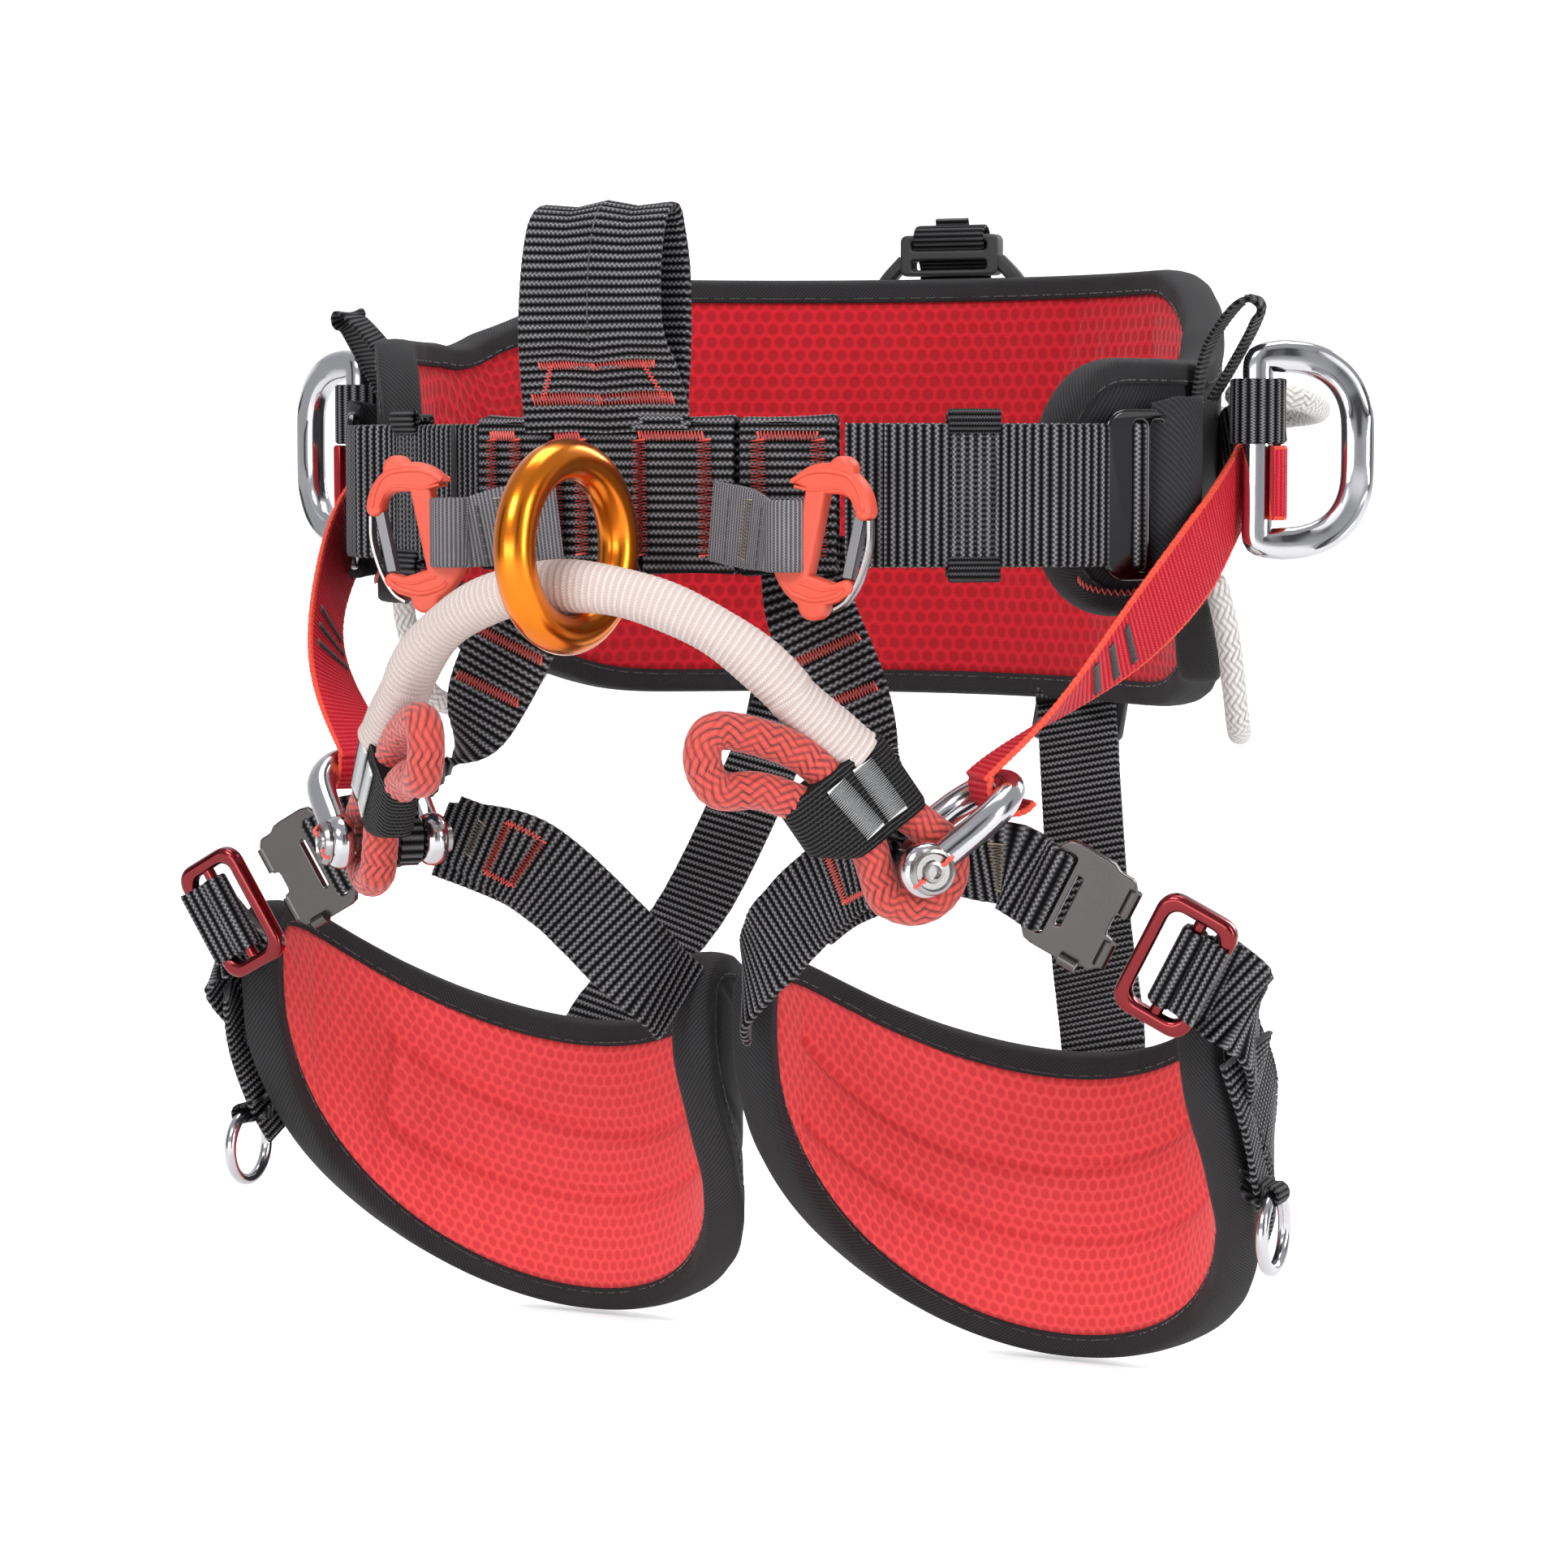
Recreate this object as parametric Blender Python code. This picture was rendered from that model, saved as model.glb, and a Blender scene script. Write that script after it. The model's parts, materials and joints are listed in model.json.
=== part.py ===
"""Tree climbing saddle: waist belt, rope bridge, leg loops and their hardware.

Metres, +Z up. In the design frame x is the wearer's left, y the wearer's back,
and z = 0 is the middle of the waist webbing. At the end the whole model is
shifted so that the middle of its box is the origin.
"""
import math

import bmesh
import bpy
from mathutils import Matrix, Vector

MM = 0.001
SIDES = {"left": 1, "right": -1}

# Waist ring: a half ellipse at the back and a flatter one at the front.
WAIST_HALF_WIDTH = 147 * MM
WAIST_BACK_DEPTH = 146 * MM
WAIST_FRONT_DEPTH = 108 * MM
WAIST_CENTRE_Y = 2 * MM
WAIST_WEBBING = 45 * MM
WEBBING_THICKNESS = 2.4 * MM

# Waist pad, measured in degrees round the ring from the middle of the back.
PAD_HALF_ANGLE = 127
PAD_HALF_HEIGHT = 77 * MM
TAB_HALF_HEIGHT = 39 * MM
TAB_FROM_ANGLE = 90
PAD_SHOULDER_ANGLE = 74
PAD_TAB_ROUND = 16
LINING_THICKNESS = 3 * MM
CORE_THICKNESS = 8 * MM
SOFT_GAP = 0.5 * MM
EDGE_GAP = 3.2 * MM
BINDING_WIDTH = 9 * MM
KEEPER_ANGLE = 137.5

# Ventral block and chest loop.
BLOCK_HALF_WIDTH = 63 * MM
BLOCK_HEIGHT = 50 * MM
BLOCK_THICKNESS = 9 * MM
CHEST_LOOP_WIDTH = 46 * MM
CHEST_LOOP_BASE = 29 * MM
CHEST_LOOP_Y = -109 * MM
CHEST_LOOP_X = -11 * MM

# Leg loops: a tilted ring behind each thigh.
LEG_CENTRE = Vector((92, -43, -245)) * MM
LEG_RADIUS = 87 * MM
LEG_RISE = 65 * MM
LEG_HALF_HEIGHT = 53 * MM
LEG_MIDDLE_ANGLE = 5
LEG_HALF_ANGLE = 102
LEG_OUTLINE_POWER = 2.6
LEG_WEBBING = 30 * MM

# Shackles and rope bridge.
PIN_CENTRE = Vector((92, -112, -113)) * MM
PIN_AXIS = Vector((1, -1, 0)).normalized()
PIN_RADIUS = 4.5 * MM
SHACKLE_JAW = 31 * MM
SHACKLE_LENGTH = 45 * MM
SHACKLE_ROD = 4.8 * MM
LUG_RADIUS = 8.6 * MM
LUG_THICKNESS = 8 * MM
BOW_DIRECTION = Vector((0.596, 0.539, 0.596)).normalized()
ROPE_RADIUS = 5.7 * MM
SLEEVE_RADIUS = 8 * MM
BRIDGE_APEX = Vector((0, -160, -27)) * MM
BRIDGE_ARC_RADIUS = 78 * MM
BRIDGE_ARC_HALF = 69
RING_MEAN_RADIUS = 26.6 * MM
RING_SECTION_RADIUS = 6.4 * MM
RING_TURN = -9

# Side D rings.
D_BAR = Vector((167, 2, 14)) * MM
D_HEIGHT = 70 * MM
D_DEPTH = 42 * MM
D_ROD = 4.8 * MM
D_TURN = 26
D_TAPE_WIDTH = 18 * MM
D_TAPE_LEVEL = 26.5 * MM

# Accessory clips on the ventral block.
CLIP_CENTRE = Vector((74, -127, -13)) * MM
CLIP_HALF_HEIGHT = 22 * MM
CLIP_HALF_WIDTH = 14 * MM
CLIP_THICKNESS = 7 * MM
TAB_WEBBING = 25 * MM

# Leg buckles: a steel plate hooked into a red frame.
PLATE_CENTRE = Vector((139, -85, -127)) * MM
FRAME_CENTRE = Vector((167, -81, -142)) * MM
PLATE_SIZE = (30 * MM, 37 * MM, 3 * MM)
FRAME_SIZE = (27 * MM, 42 * MM, 5 * MM)

MATERIALS = {
    "black_webbing": ((0.022, 0.022, 0.026), 0.85, 0.0),
    "black_foam": ((0.02, 0.02, 0.02), 0.9, 0.0),
    "belt_mesh": ((0.50, 0.010, 0.020), 0.85, 0.0),
    "leg_mesh": ((0.72, 0.045, 0.05), 0.85, 0.0),
    "black_binding": ((0.018, 0.018, 0.018), 0.8, 0.0),
    "red_webbing": ((0.62, 0.012, 0.025), 0.75, 0.0),
    "grey_webbing": ((0.12, 0.12, 0.13), 0.8, 0.0),
    "red_rope": ((0.65, 0.06, 0.05), 0.8, 0.0),
    "white_sleeve": ((0.85, 0.80, 0.78), 0.8, 0.0),
    "gear_cord": ((0.62, 0.60, 0.59), 0.8, 0.0),
    "orange_anodised": ((0.80, 0.30, 0.02), 0.25, 1.0),
    "red_anodised": ((0.20, 0.008, 0.012), 0.25, 1.0),
    "polished_steel": ((0.72, 0.72, 0.74), 0.12, 1.0),
    "satin_steel": ((0.38, 0.37, 0.37), 0.35, 1.0),
    "black_steel": ((0.02, 0.02, 0.02), 0.3, 0.6),
    "salmon_plastic": ((0.88, 0.20, 0.13), 0.45, 0.0),
    "black_plastic": ((0.02, 0.02, 0.02), 0.5, 0.0),
}


def material(name):
    """A Principled material from the table above, made once."""
    found = bpy.data.materials.get(name)
    if found:
        return found
    colour, roughness, metallic = MATERIALS[name]
    made = bpy.data.materials.new(name)
    made.use_nodes = True
    shader = made.node_tree.nodes["Principled BSDF"]
    shader.inputs["Base Color"].default_value = (*colour, 1.0)
    shader.inputs["Roughness"].default_value = roughness
    shader.inputs["Metallic"].default_value = metallic
    return made


def mirrored(point, side):
    """The point on the wearer's left (side 1) or right (side -1)."""
    return Vector((point[0] * side, point[1], point[2]))


# ---------------------------------------------------------------- mesh making

def finish_mesh(name, mesh, look, sharp_angle=40, pivot=None):
    """Close off a bmesh as an object whose origin is at its pivot."""
    bmesh.ops.recalc_face_normals(mesh, faces=mesh.faces)
    if mesh.calc_volume(signed=True) < 0:
        bmesh.ops.reverse_faces(mesh, faces=mesh.faces)
    origin = pivot or Vector((0, 0, 0))
    bmesh.ops.translate(mesh, verts=mesh.verts, vec=-origin)
    data = bpy.data.meshes.new(name)
    mesh.to_mesh(data)
    mesh.free()
    data.shade_smooth()
    data.set_sharp_from_angle(angle=math.radians(sharp_angle))
    data.materials.append(material(look))
    made = bpy.data.objects.new(name, data)
    made.location = origin
    bpy.context.collection.objects.link(made)
    return made


def skin(name, rings, look, closed=False, pivot=None, sharp_angle=40):
    """A solid through rings of points, capped at both ends or closed on itself."""
    mesh = bmesh.new()
    rows = [[mesh.verts.new(point) for point in ring] for ring in rings]
    count = len(rows[0])
    pairs = list(zip(rows, rows[1:]))
    if closed:
        pairs.append((rows[-1], rows[0]))
    for first, second in pairs:
        for i in range(count):
            j = (i + 1) % count
            mesh.faces.new((first[i], first[j], second[j], second[i]))
    if not closed:
        mesh.faces.new(rows[0])
        mesh.faces.new(rows[-1])
    return finish_mesh(name, mesh, look, sharp_angle, pivot)


def tangents(points, closed):
    """A unit tangent at each point of a path."""
    count = len(points)
    result = []
    for i in range(count):
        before = points[i - 1] if closed or i else points[0]
        after = points[(i + 1) % count] if closed or i < count - 1 else points[-1]
        result.append((after - before).normalized())
    return result


def side_vectors(points, hint, closed):
    """Unit vectors across a path, carried along it so that they don't twist."""
    along = tangents(points, closed)
    side = (hint - along[0] * hint.dot(along[0])).normalized()
    result = []
    for direction in along:
        side = (side - direction * side.dot(direction)).normalized()
        result.append(side.copy())
    return result


def round_section(radius, sides, turn=0.5):
    """Corner points of a round section."""
    step = 2 * math.pi / sides
    return [(radius * math.cos((i + turn) * step), radius * math.sin((i + turn) * step))
            for i in range(sides)]


def sweep(points, section, hint, closed=False):
    """Rings of a section carried along a path; section x lies along the hint."""
    sides = side_vectors(points, hint, closed)
    rings = []
    for point, across, direction in zip(points, sides, tangents(points, closed)):
        up = direction.cross(across)
        rings.append([point + across * u + up * v for u, v in section])
    return rings


def tube(name, points, radius, look, sides=8, closed=False, hint=Vector((0, 0, 1)), pivot=None):
    """A round rod or cord along a path."""
    rings = sweep(points, round_section(radius, sides), hint, closed)
    return skin(name, rings, look, closed, pivot)


def ribbon(name, points, across, width, look, thickness=WEBBING_THICKNESS, closed=False, pivot=None):
    """Flat webbing along a path; across is one width direction, or one for each point."""
    count = len(points)
    directions = across if isinstance(across, list) else [across] * count
    widths = width if isinstance(width, list) else [width] * count
    rings = []
    for i, direction in enumerate(tangents(points, closed)):
        wide = (directions[i] - direction * directions[i].dot(direction)).normalized() * (widths[i] / 2)
        thick = direction.cross(wide).normalized() * (thickness / 2)
        centre = points[i]
        rings.append([centre + wide + thick, centre - wide + thick,
                      centre - wide - thick, centre + wide - thick])
    return skin(name, rings, look, closed, pivot)


def curve_through(knots, steps=6, closed=False):
    """A smooth Catmull-Rom path through the knots."""
    count = len(knots)
    spans = count if closed else count - 1
    path = []
    for i in range(spans):
        if closed:
            p0, p1, p2, p3 = (knots[(i + k - 1) % count] for k in range(4))
        else:
            p1, p2 = knots[i], knots[i + 1]
            p0 = knots[i - 1] if i else p1 * 2 - p2
            p3 = knots[i + 2] if i + 2 < count else p2 * 2 - p1
        for k in range(steps):
            t = k / steps
            path.append(0.5 * (2 * p1 + (p2 - p0) * t + (2 * p0 - 5 * p1 + 4 * p2 - p3) * t * t
                               + (3 * p1 - p0 - 3 * p2 + p3) * t ** 3))
    if not closed:
        path.append(knots[-1].copy())
    return path


def even_path(points, count, closed=False):
    """The same path with its points evenly spaced."""
    loop = points + [points[0]] if closed else points
    lengths = [0.0]
    for a, b in zip(loop, loop[1:]):
        lengths.append(lengths[-1] + (b - a).length)
    wanted = [lengths[-1] * i / (count if closed else count - 1) for i in range(count)]
    result = []
    k = 0
    for distance in wanted:
        while k < len(loop) - 2 and lengths[k + 1] < distance:
            k += 1
        share = (distance - lengths[k]) / max(lengths[k + 1] - lengths[k], 1e-12)
        result.append(loop[k].lerp(loop[k + 1], min(share, 1.0)))
    return result


# ------------------------------------------------------------------ waist belt

def waist_point(angle, outward=0.0, z=0.0):
    """A point on the waist ring; angle in degrees from the back, positive to the left."""
    turn = math.radians(angle)
    depth = WAIST_BACK_DEPTH if math.cos(turn) > 0 else WAIST_FRONT_DEPTH
    x = WAIST_HALF_WIDTH * math.sin(turn)
    y = WAIST_CENTRE_Y + depth * math.cos(turn)
    normal = Vector((math.sin(turn) / WAIST_HALF_WIDTH, math.cos(turn) / depth, 0)).normalized()
    return Vector((x, y, z)) + normal * outward


def waist_angle(x):
    """The front angle, in degrees, at which the waist ring reaches x."""
    return 180 - math.degrees(math.asin(x / WAIST_HALF_WIDTH))


def pad_half_height(angle):
    """Half the pad's height: full at the back, a step down to the tab, a round tip."""
    away = abs(angle)
    step = (away - PAD_SHOULDER_ANGLE) / (TAB_FROM_ANGLE - PAD_SHOULDER_ANGLE)
    step = min(max(step, 0.0), 1.0)
    blend = step * step * (3 - 2 * step)
    height = PAD_HALF_HEIGHT + (TAB_HALF_HEIGHT - PAD_HALF_HEIGHT) * blend
    into_tip = (away - (PAD_HALF_ANGLE - PAD_TAB_ROUND)) / PAD_TAB_ROUND
    if into_tip > 0:
        height *= math.sqrt(max(1 - min(into_tip, 1.0) ** 2.4, 0.0))
    return height


def inset_outline(height, half_length, inset, count):
    """The upper edge of an outline, from end to end, moved in by the inset."""
    samples = []
    for i in range(count + 1):
        share = math.sin(math.pi * (i / count - 0.5))
        samples.append((half_length * share, height(half_length * share)))
    edge = []
    for i, (along, up) in enumerate(samples):
        before = samples[max(i - 1, 0)]
        after = samples[min(i + 1, count)]
        run, rise = after[0] - before[0], after[1] - before[1]
        length = math.hypot(run, rise)
        if i in (0, count):
            run, rise = 0.0, length if i == 0 else -length
        edge.append((along + rise / length * inset, max(up - run / length * inset, 0.0)))
    return edge


def height_at(edge, along):
    """Height of an upper edge above a place along it."""
    for first, second in zip(edge, edge[1:]):
        if first[0] <= along <= second[0]:
            share = (along - first[0]) / max(second[0] - first[0], 1e-9)
            return first[1] + (second[1] - first[1]) * share
    return 0.0


def stations(edge, count, narrowest=2 * MM):
    """Places along an outline, closer together at its ends, with their half heights."""
    first, last = edge[0][0], edge[-1][0]
    middle, half = (first + last) / 2, (last - first) / 2 * 0.995
    places = [middle + half * math.sin(math.pi * (i / count - 0.5)) for i in range(count + 1)]
    return [(place, max(height_at(edge, place), narrowest)) for place in places]


def curved_sheet(name, edge, place, inner, outer, look, count):
    """A sheet between two offsets; place(along, offset, height) gives its points."""
    rings = []
    for along, height in stations(edge, count):
        ring = [place(along, outer, height * v) for v in (-1, 0, 1)]
        ring += [place(along, inner, height * v) for v in (1, 0, -1)]
        rings.append(ring)
    return skin(name, rings, look)


def edge_tape(name, edge, place, inner, outer, count):
    """Binding tape with softened corners round the whole outline."""
    middle = (inner + outer) / 2
    flat = [Vector((a, h, 0)) for a, h in edge] + [Vector((a, -h, 0)) for a, h in edge[::-1]]
    flat = even_path(flat, count, closed=True)
    loop = [place(p.x, middle, p.y) for p in flat]
    outside = [place(p.x, middle + MM, p.y) for p in flat]
    wide = BINDING_WIDTH / 2 - SOFT_GAP
    thick = (outer - inner) / 2
    rings = []
    for point, other, direction in zip(loop, outside, tangents(loop, True)):
        facing = other - point
        facing = (facing - direction * facing.dot(direction)).normalized()
        across = direction.cross(facing)
        rings.append([point + facing * thick * u + across * wide * v
                      for u, v in ((1, 0.5), (0, 1), (-1, 0.5), (-1, -0.5), (0, -1), (1, -0.5))])
    return skin(name, rings, "black_binding", closed=True)


def belt_place(along, outward, z):
    """A point of the waist pad; along is a length scaled to the ring's angle."""
    return waist_point(math.degrees(along / WAIST_HALF_WIDTH), outward, z)


def belt_edge(inset, count=120):
    """Upper edge of the waist pad's outline."""
    half_length = math.radians(PAD_HALF_ANGLE) * WAIST_HALF_WIDTH
    return inset_outline(lambda along: pad_half_height(math.degrees(along / WAIST_HALF_WIDTH)),
                         half_length, inset, count)


def waist_belt():
    """Pad layers, binding and the webbing round the back of the pad."""
    inset = BINDING_WIDTH + EDGE_GAP
    lining_outer = -CORE_THICKNESS - SOFT_GAP
    lining_inner = lining_outer - LINING_THICKNESS
    edge = belt_edge(inset)
    curved_sheet("waist_pad_lining", edge, belt_place, lining_inner, lining_outer, "belt_mesh", 26)
    curved_sheet("waist_pad_core", edge, belt_place, -CORE_THICKNESS, 0.0, "black_foam", 26)
    edge_tape("waist_pad_binding", belt_edge(BINDING_WIDTH / 2), belt_place,
              lining_inner - MM, 0.5 * MM, 66)
    middle = 0.5 * MM + WEBBING_THICKNESS
    waist = [waist_point(a, middle) for a in range(-72, 73, 6)]
    tape = d_ring_tape(1)
    path = [mirrored(p, -1) for p in tape[::-1]] + waist + tape
    widths = [D_TAPE_WIDTH] * len(tape)
    widths += [min(D_TAPE_WIDTH + 3 * MM * k, WAIST_WEBBING) for k in range(1, 6)]
    widths += [WAIST_WEBBING] * (len(waist) - 10) + widths[:-6:-1] + widths[:len(tape)]
    ribbon("back_webbing", path, Vector((0, 0, 1)), widths, "black_webbing")
    adjuster = [waist_point(a, 4 * MM, PAD_HALF_HEIGHT + 9 * MM) for a in (-9, -3, 3, 9)]
    ribbon("back_adjuster", adjuster, Vector((0, 0, 1)), 14 * MM, "black_plastic", 8 * MM)


def d_ring_tape(side):
    """Path of the webbing that leaves the belt and folds round a D ring's bar."""
    bar, _ = d_frame(side)
    level = Vector((0, 0, D_TAPE_LEVEL - bar.z))
    radius = D_ROD + 1.6 * MM + WEBBING_THICKNESS / 2
    start = waist_point(side * 80, WEBBING_THICKNESS + 0.5 * MM, D_TAPE_LEVEL * 0.6)
    loop = [bar + level + Vector((math.cos(t) * side, math.sin(t), 0)) * radius
            for t in [math.radians(a) for a in range(45, -166, -21)]]
    return [start, start.lerp(loop[0], 0.5)] + loop


def front_strap(side, label):
    """Waist webbing from the ventral block, woven through the slide buckle."""
    start = waist_angle(BLOCK_HALF_WIDTH + 1 * MM)
    buckle_at = 113
    step = 3
    lift = 6.2 * MM
    points = []
    angle = start
    while angle > buckle_at - 9:
        away = abs(angle - buckle_at) / 4.2
        rise = 3.2 * MM * math.cos(math.pi * min(away, 1.0))
        base = min(max(PAD_HALF_ANGLE + 5 - angle, 0.0) / 4.5, 1.0)
        points.append(waist_point(side * angle, base * (lift + rise)))
        angle -= step if angle > buckle_at + 6 else 0.75
    ribbon(f"waist_strap_{label}", points, Vector((0, 0, 1)), WAIST_WEBBING, "black_webbing")
    frame = waist_point(side * buckle_at, lift)
    along = (waist_point(side * (buckle_at + 1)) - waist_point(side * (buckle_at - 1))).normalized()
    slotted_frame(f"waist_buckle_{label}", frame, along, Vector((0, 0, 1)),
                  (27 * MM, 54 * MM, 2.4 * MM), 3.6 * MM, 3 * MM, "black_steel")


def slotted_frame(name, centre, across, tall, size, rail, bar, look):
    """A flat rounded frame; with a bar down its middle when bar is over zero."""
    mesh = bmesh.new()
    out = across.cross(tall).normalized()
    frame = Matrix((across, tall, out)).transposed()
    rims = []
    for inset, corner in ((0.0, 7 * MM), (rail, 3 * MM)):
        half_x = size[0] / 2 - inset
        half_y = size[1] / 2 - inset
        rim = []
        for sx, sy, start in ((1, 1, 0), (-1, 1, 90), (-1, -1, 180), (1, -1, 270)):
            for k in range(4):
                turn = math.radians(start + 30 * k)
                rim.append(((half_x - corner) * sx + corner * math.cos(turn),
                            (half_y - corner) * sy + corner * math.sin(turn)))
        rims.append(rim)
    loops = []
    for rim, level in ((rims[0], 1), (rims[0], -1), (rims[1], -1), (rims[1], 1)):
        loops.append([mesh.verts.new(centre + frame @ Vector((x, y, level * size[2] / 2)))
                      for x, y in rim])
    count = len(rims[0])
    for first, second in zip(loops, loops[1:] + loops[:1]):
        for i in range(count):
            j = (i + 1) % count
            mesh.faces.new((first[i], first[j], second[j], second[i]))
    made = finish_mesh(name, mesh, look)
    if bar:
        add_bar(made, centre, frame, size, rail, bar, look)
    return made


def add_bar(holder, centre, frame, size, rail, bar, look):
    """Join a square bar across the window of a frame."""
    half = size[1] / 2 - rail / 2
    mesh = bmesh.new()
    bmesh.ops.create_cube(mesh, size=1.0)
    bmesh.ops.scale(mesh, verts=mesh.verts, vec=(bar, 2 * half, size[2] * 0.8))
    bmesh.ops.transform(mesh, verts=mesh.verts, matrix=Matrix.Translation(centre) @ frame.to_4x4())
    cutter = finish_mesh(holder.name + "_bar", mesh, look)
    cutter.hide_render = True
    cutter.display_type = "WIRE"
    union = holder.modifiers.new("bar", "BOOLEAN")
    union.operation = "UNION"
    union.object = cutter


def keeper(side, label):
    """The elastic band that holds the strap's loose end; it slides along the strap."""
    at = KEEPER_ANGLE
    path = [waist_point(side * a) for a in (at - 3.2, at, at + 3.2)]
    half_in = (0.8 * MM + WEBBING_THICKNESS / 2, WAIST_WEBBING / 2 + 1 * MM)
    wall = 1.4 * MM
    mesh = bmesh.new()
    loops = []
    for row, extra in ((path, wall), (path[::-1], 0.0)):
        for point in row:
            normal = (waist_point(side * at, 1.0) - waist_point(side * at)).normalized()
            half = (half_in[0] + extra, half_in[1] + extra)
            loops.append([mesh.verts.new(point + normal * half[0] * u + Vector((0, 0, half[1] * v)))
                          for u, v in ((1, 1), (-1, 1), (-1, -1), (1, -1))])
    for first, second in zip(loops, loops[1:] + loops[:1]):
        for i in range(4):
            j = (i + 1) % 4
            mesh.faces.new((first[i], first[j], second[j], second[i]))
    finish_mesh(f"strap_keeper_{label}", mesh, "black_webbing", pivot=keeper_centre(side))


def keeper_centre(side):
    """Centre of curvature of the waist ring at the keeper."""
    turn = math.radians(KEEPER_ANGLE)
    a, b = WAIST_HALF_WIDTH, WAIST_FRONT_DEPTH
    speed = math.hypot(a * math.cos(turn), b * math.sin(turn))
    radius = speed ** 3 / (a * b)
    at = waist_point(side * KEEPER_ANGLE)
    inward = (at - waist_point(side * KEEPER_ANGLE, 1.0)).normalized()
    return at + inward * radius


def ventral_block():
    """Folded webbing block at the front, and the loop for chest straps above it."""
    edge = waist_angle(BLOCK_HALF_WIDTH)
    path = [waist_point(180 + (180 - edge) * k / 8) for k in range(-8, 9)]
    ribbon("ventral_block", path, Vector((0, 0, 1)), BLOCK_HEIGHT, "black_webbing", BLOCK_THICKNESS)
    base = Vector((CHEST_LOOP_X, CHEST_LOOP_Y, CHEST_LOOP_BASE))
    knots = [(-3, 1.5), (-12, 12), (-14, 26), (-11, 44), (-6, 57), (1, 61),
             (7, 57), (10, 44), (9, 26), (8, 12), (3, 1.5)]
    path = [base + Vector((0, y * MM, z * MM)) for y, z in knots]
    ribbon("chest_loop", even_path(curve_through(path, 4), 26), Vector((1, 0, 0)),
           CHEST_LOOP_WIDTH, "black_webbing", pivot=base)


def riser(side, label):
    """Webbing from the ventral block down to the shackle pin."""
    block = mirrored(Vector((45, -85.5, -17)) * MM, side)
    below = mirrored(Vector((50, -91, -36)) * MM, side)
    pin = mirrored(PIN_CENTRE, side)
    axis = mirrored(PIN_AXIS, side)
    eye = pin - axis * 6.9 * MM
    towards = (block - eye).normalized()
    up = (towards - axis * towards.dot(axis)).normalized()
    out = axis.cross(up) * side
    radius = PIN_RADIUS + 1 * MM + WEBBING_THICKNESS / 2
    loop = [eye + (up * math.cos(t) + out * math.sin(t)) * radius
            for t in [math.radians(a) for a in range(-20, 301, 20)]]
    back = Vector((0, 7, 0)) * MM
    path = [block, below, below.lerp(eye, 0.35) + back * 0.5, below.lerp(eye, 0.65) + back,
            eye + up * 18 * MM + back * 0.6 + axis * 1.5 * MM] + loop[1:]
    widths = [LEG_WEBBING] * 3 + [LEG_WEBBING * 0.7, 9 * MM] + [7.4 * MM] * (len(loop) - 1)
    wide = Vector((0.8 * side, 0, 0.4))
    back_axis = axis * side
    directions = [wide, wide, wide, wide.lerp(back_axis, 0.5)] + [back_axis] * len(loop)
    ribbon(f"riser_strap_{label}", path, directions, widths, "black_webbing")


# ----------------------------------------------------------- side D rings

def d_frame(side):
    """Bar point and outward direction of a side D ring."""
    turn = math.radians(D_TURN)
    return mirrored(D_BAR, side), Vector((math.cos(turn) * side, math.sin(turn), 0))


def side_d_ring(side, label):
    """A closed D of round rod with its straight bar on the hinge line."""
    bar, out = d_frame(side)
    half = D_HEIGHT / 2 - D_ROD
    depth = D_DEPTH - D_ROD * 2
    knots = [bar + Vector((0, 0, z)) for z in (-half + 2.6 * MM, half - 2.6 * MM)]
    path = [knots[0], knots[0].lerp(knots[1], 0.5), knots[1]]
    path.append(bar + out * 1.6 * MM + Vector((0, 0, half - 0.6 * MM)))
    flat = 5 * MM
    for k in range(8):
        t = math.radians(90 - 90 * k / 7)
        path.append(bar + out * (6 * MM + (depth - 6 * MM) * math.cos(t) ** 0.8)
                    + Vector((0, 0, flat + (half - flat) * math.sin(t) ** 0.8)))
    for k in range(8):
        t = math.radians(-90 * k / 7)
        path.append(bar + out * (6 * MM + (depth - 6 * MM) * math.cos(t) ** 0.8)
                    + Vector((0, 0, -flat - (half - flat) * math.sin(-t) ** 0.8)))
    path.append(bar + out * 1.6 * MM + Vector((0, 0, -half + 0.6 * MM)))
    flatwise = out.cross(Vector((0, 0, 1)))
    tube(f"side_d_ring_{label}", path, D_ROD, "polished_steel", 8, True, flatwise, bar)


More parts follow.
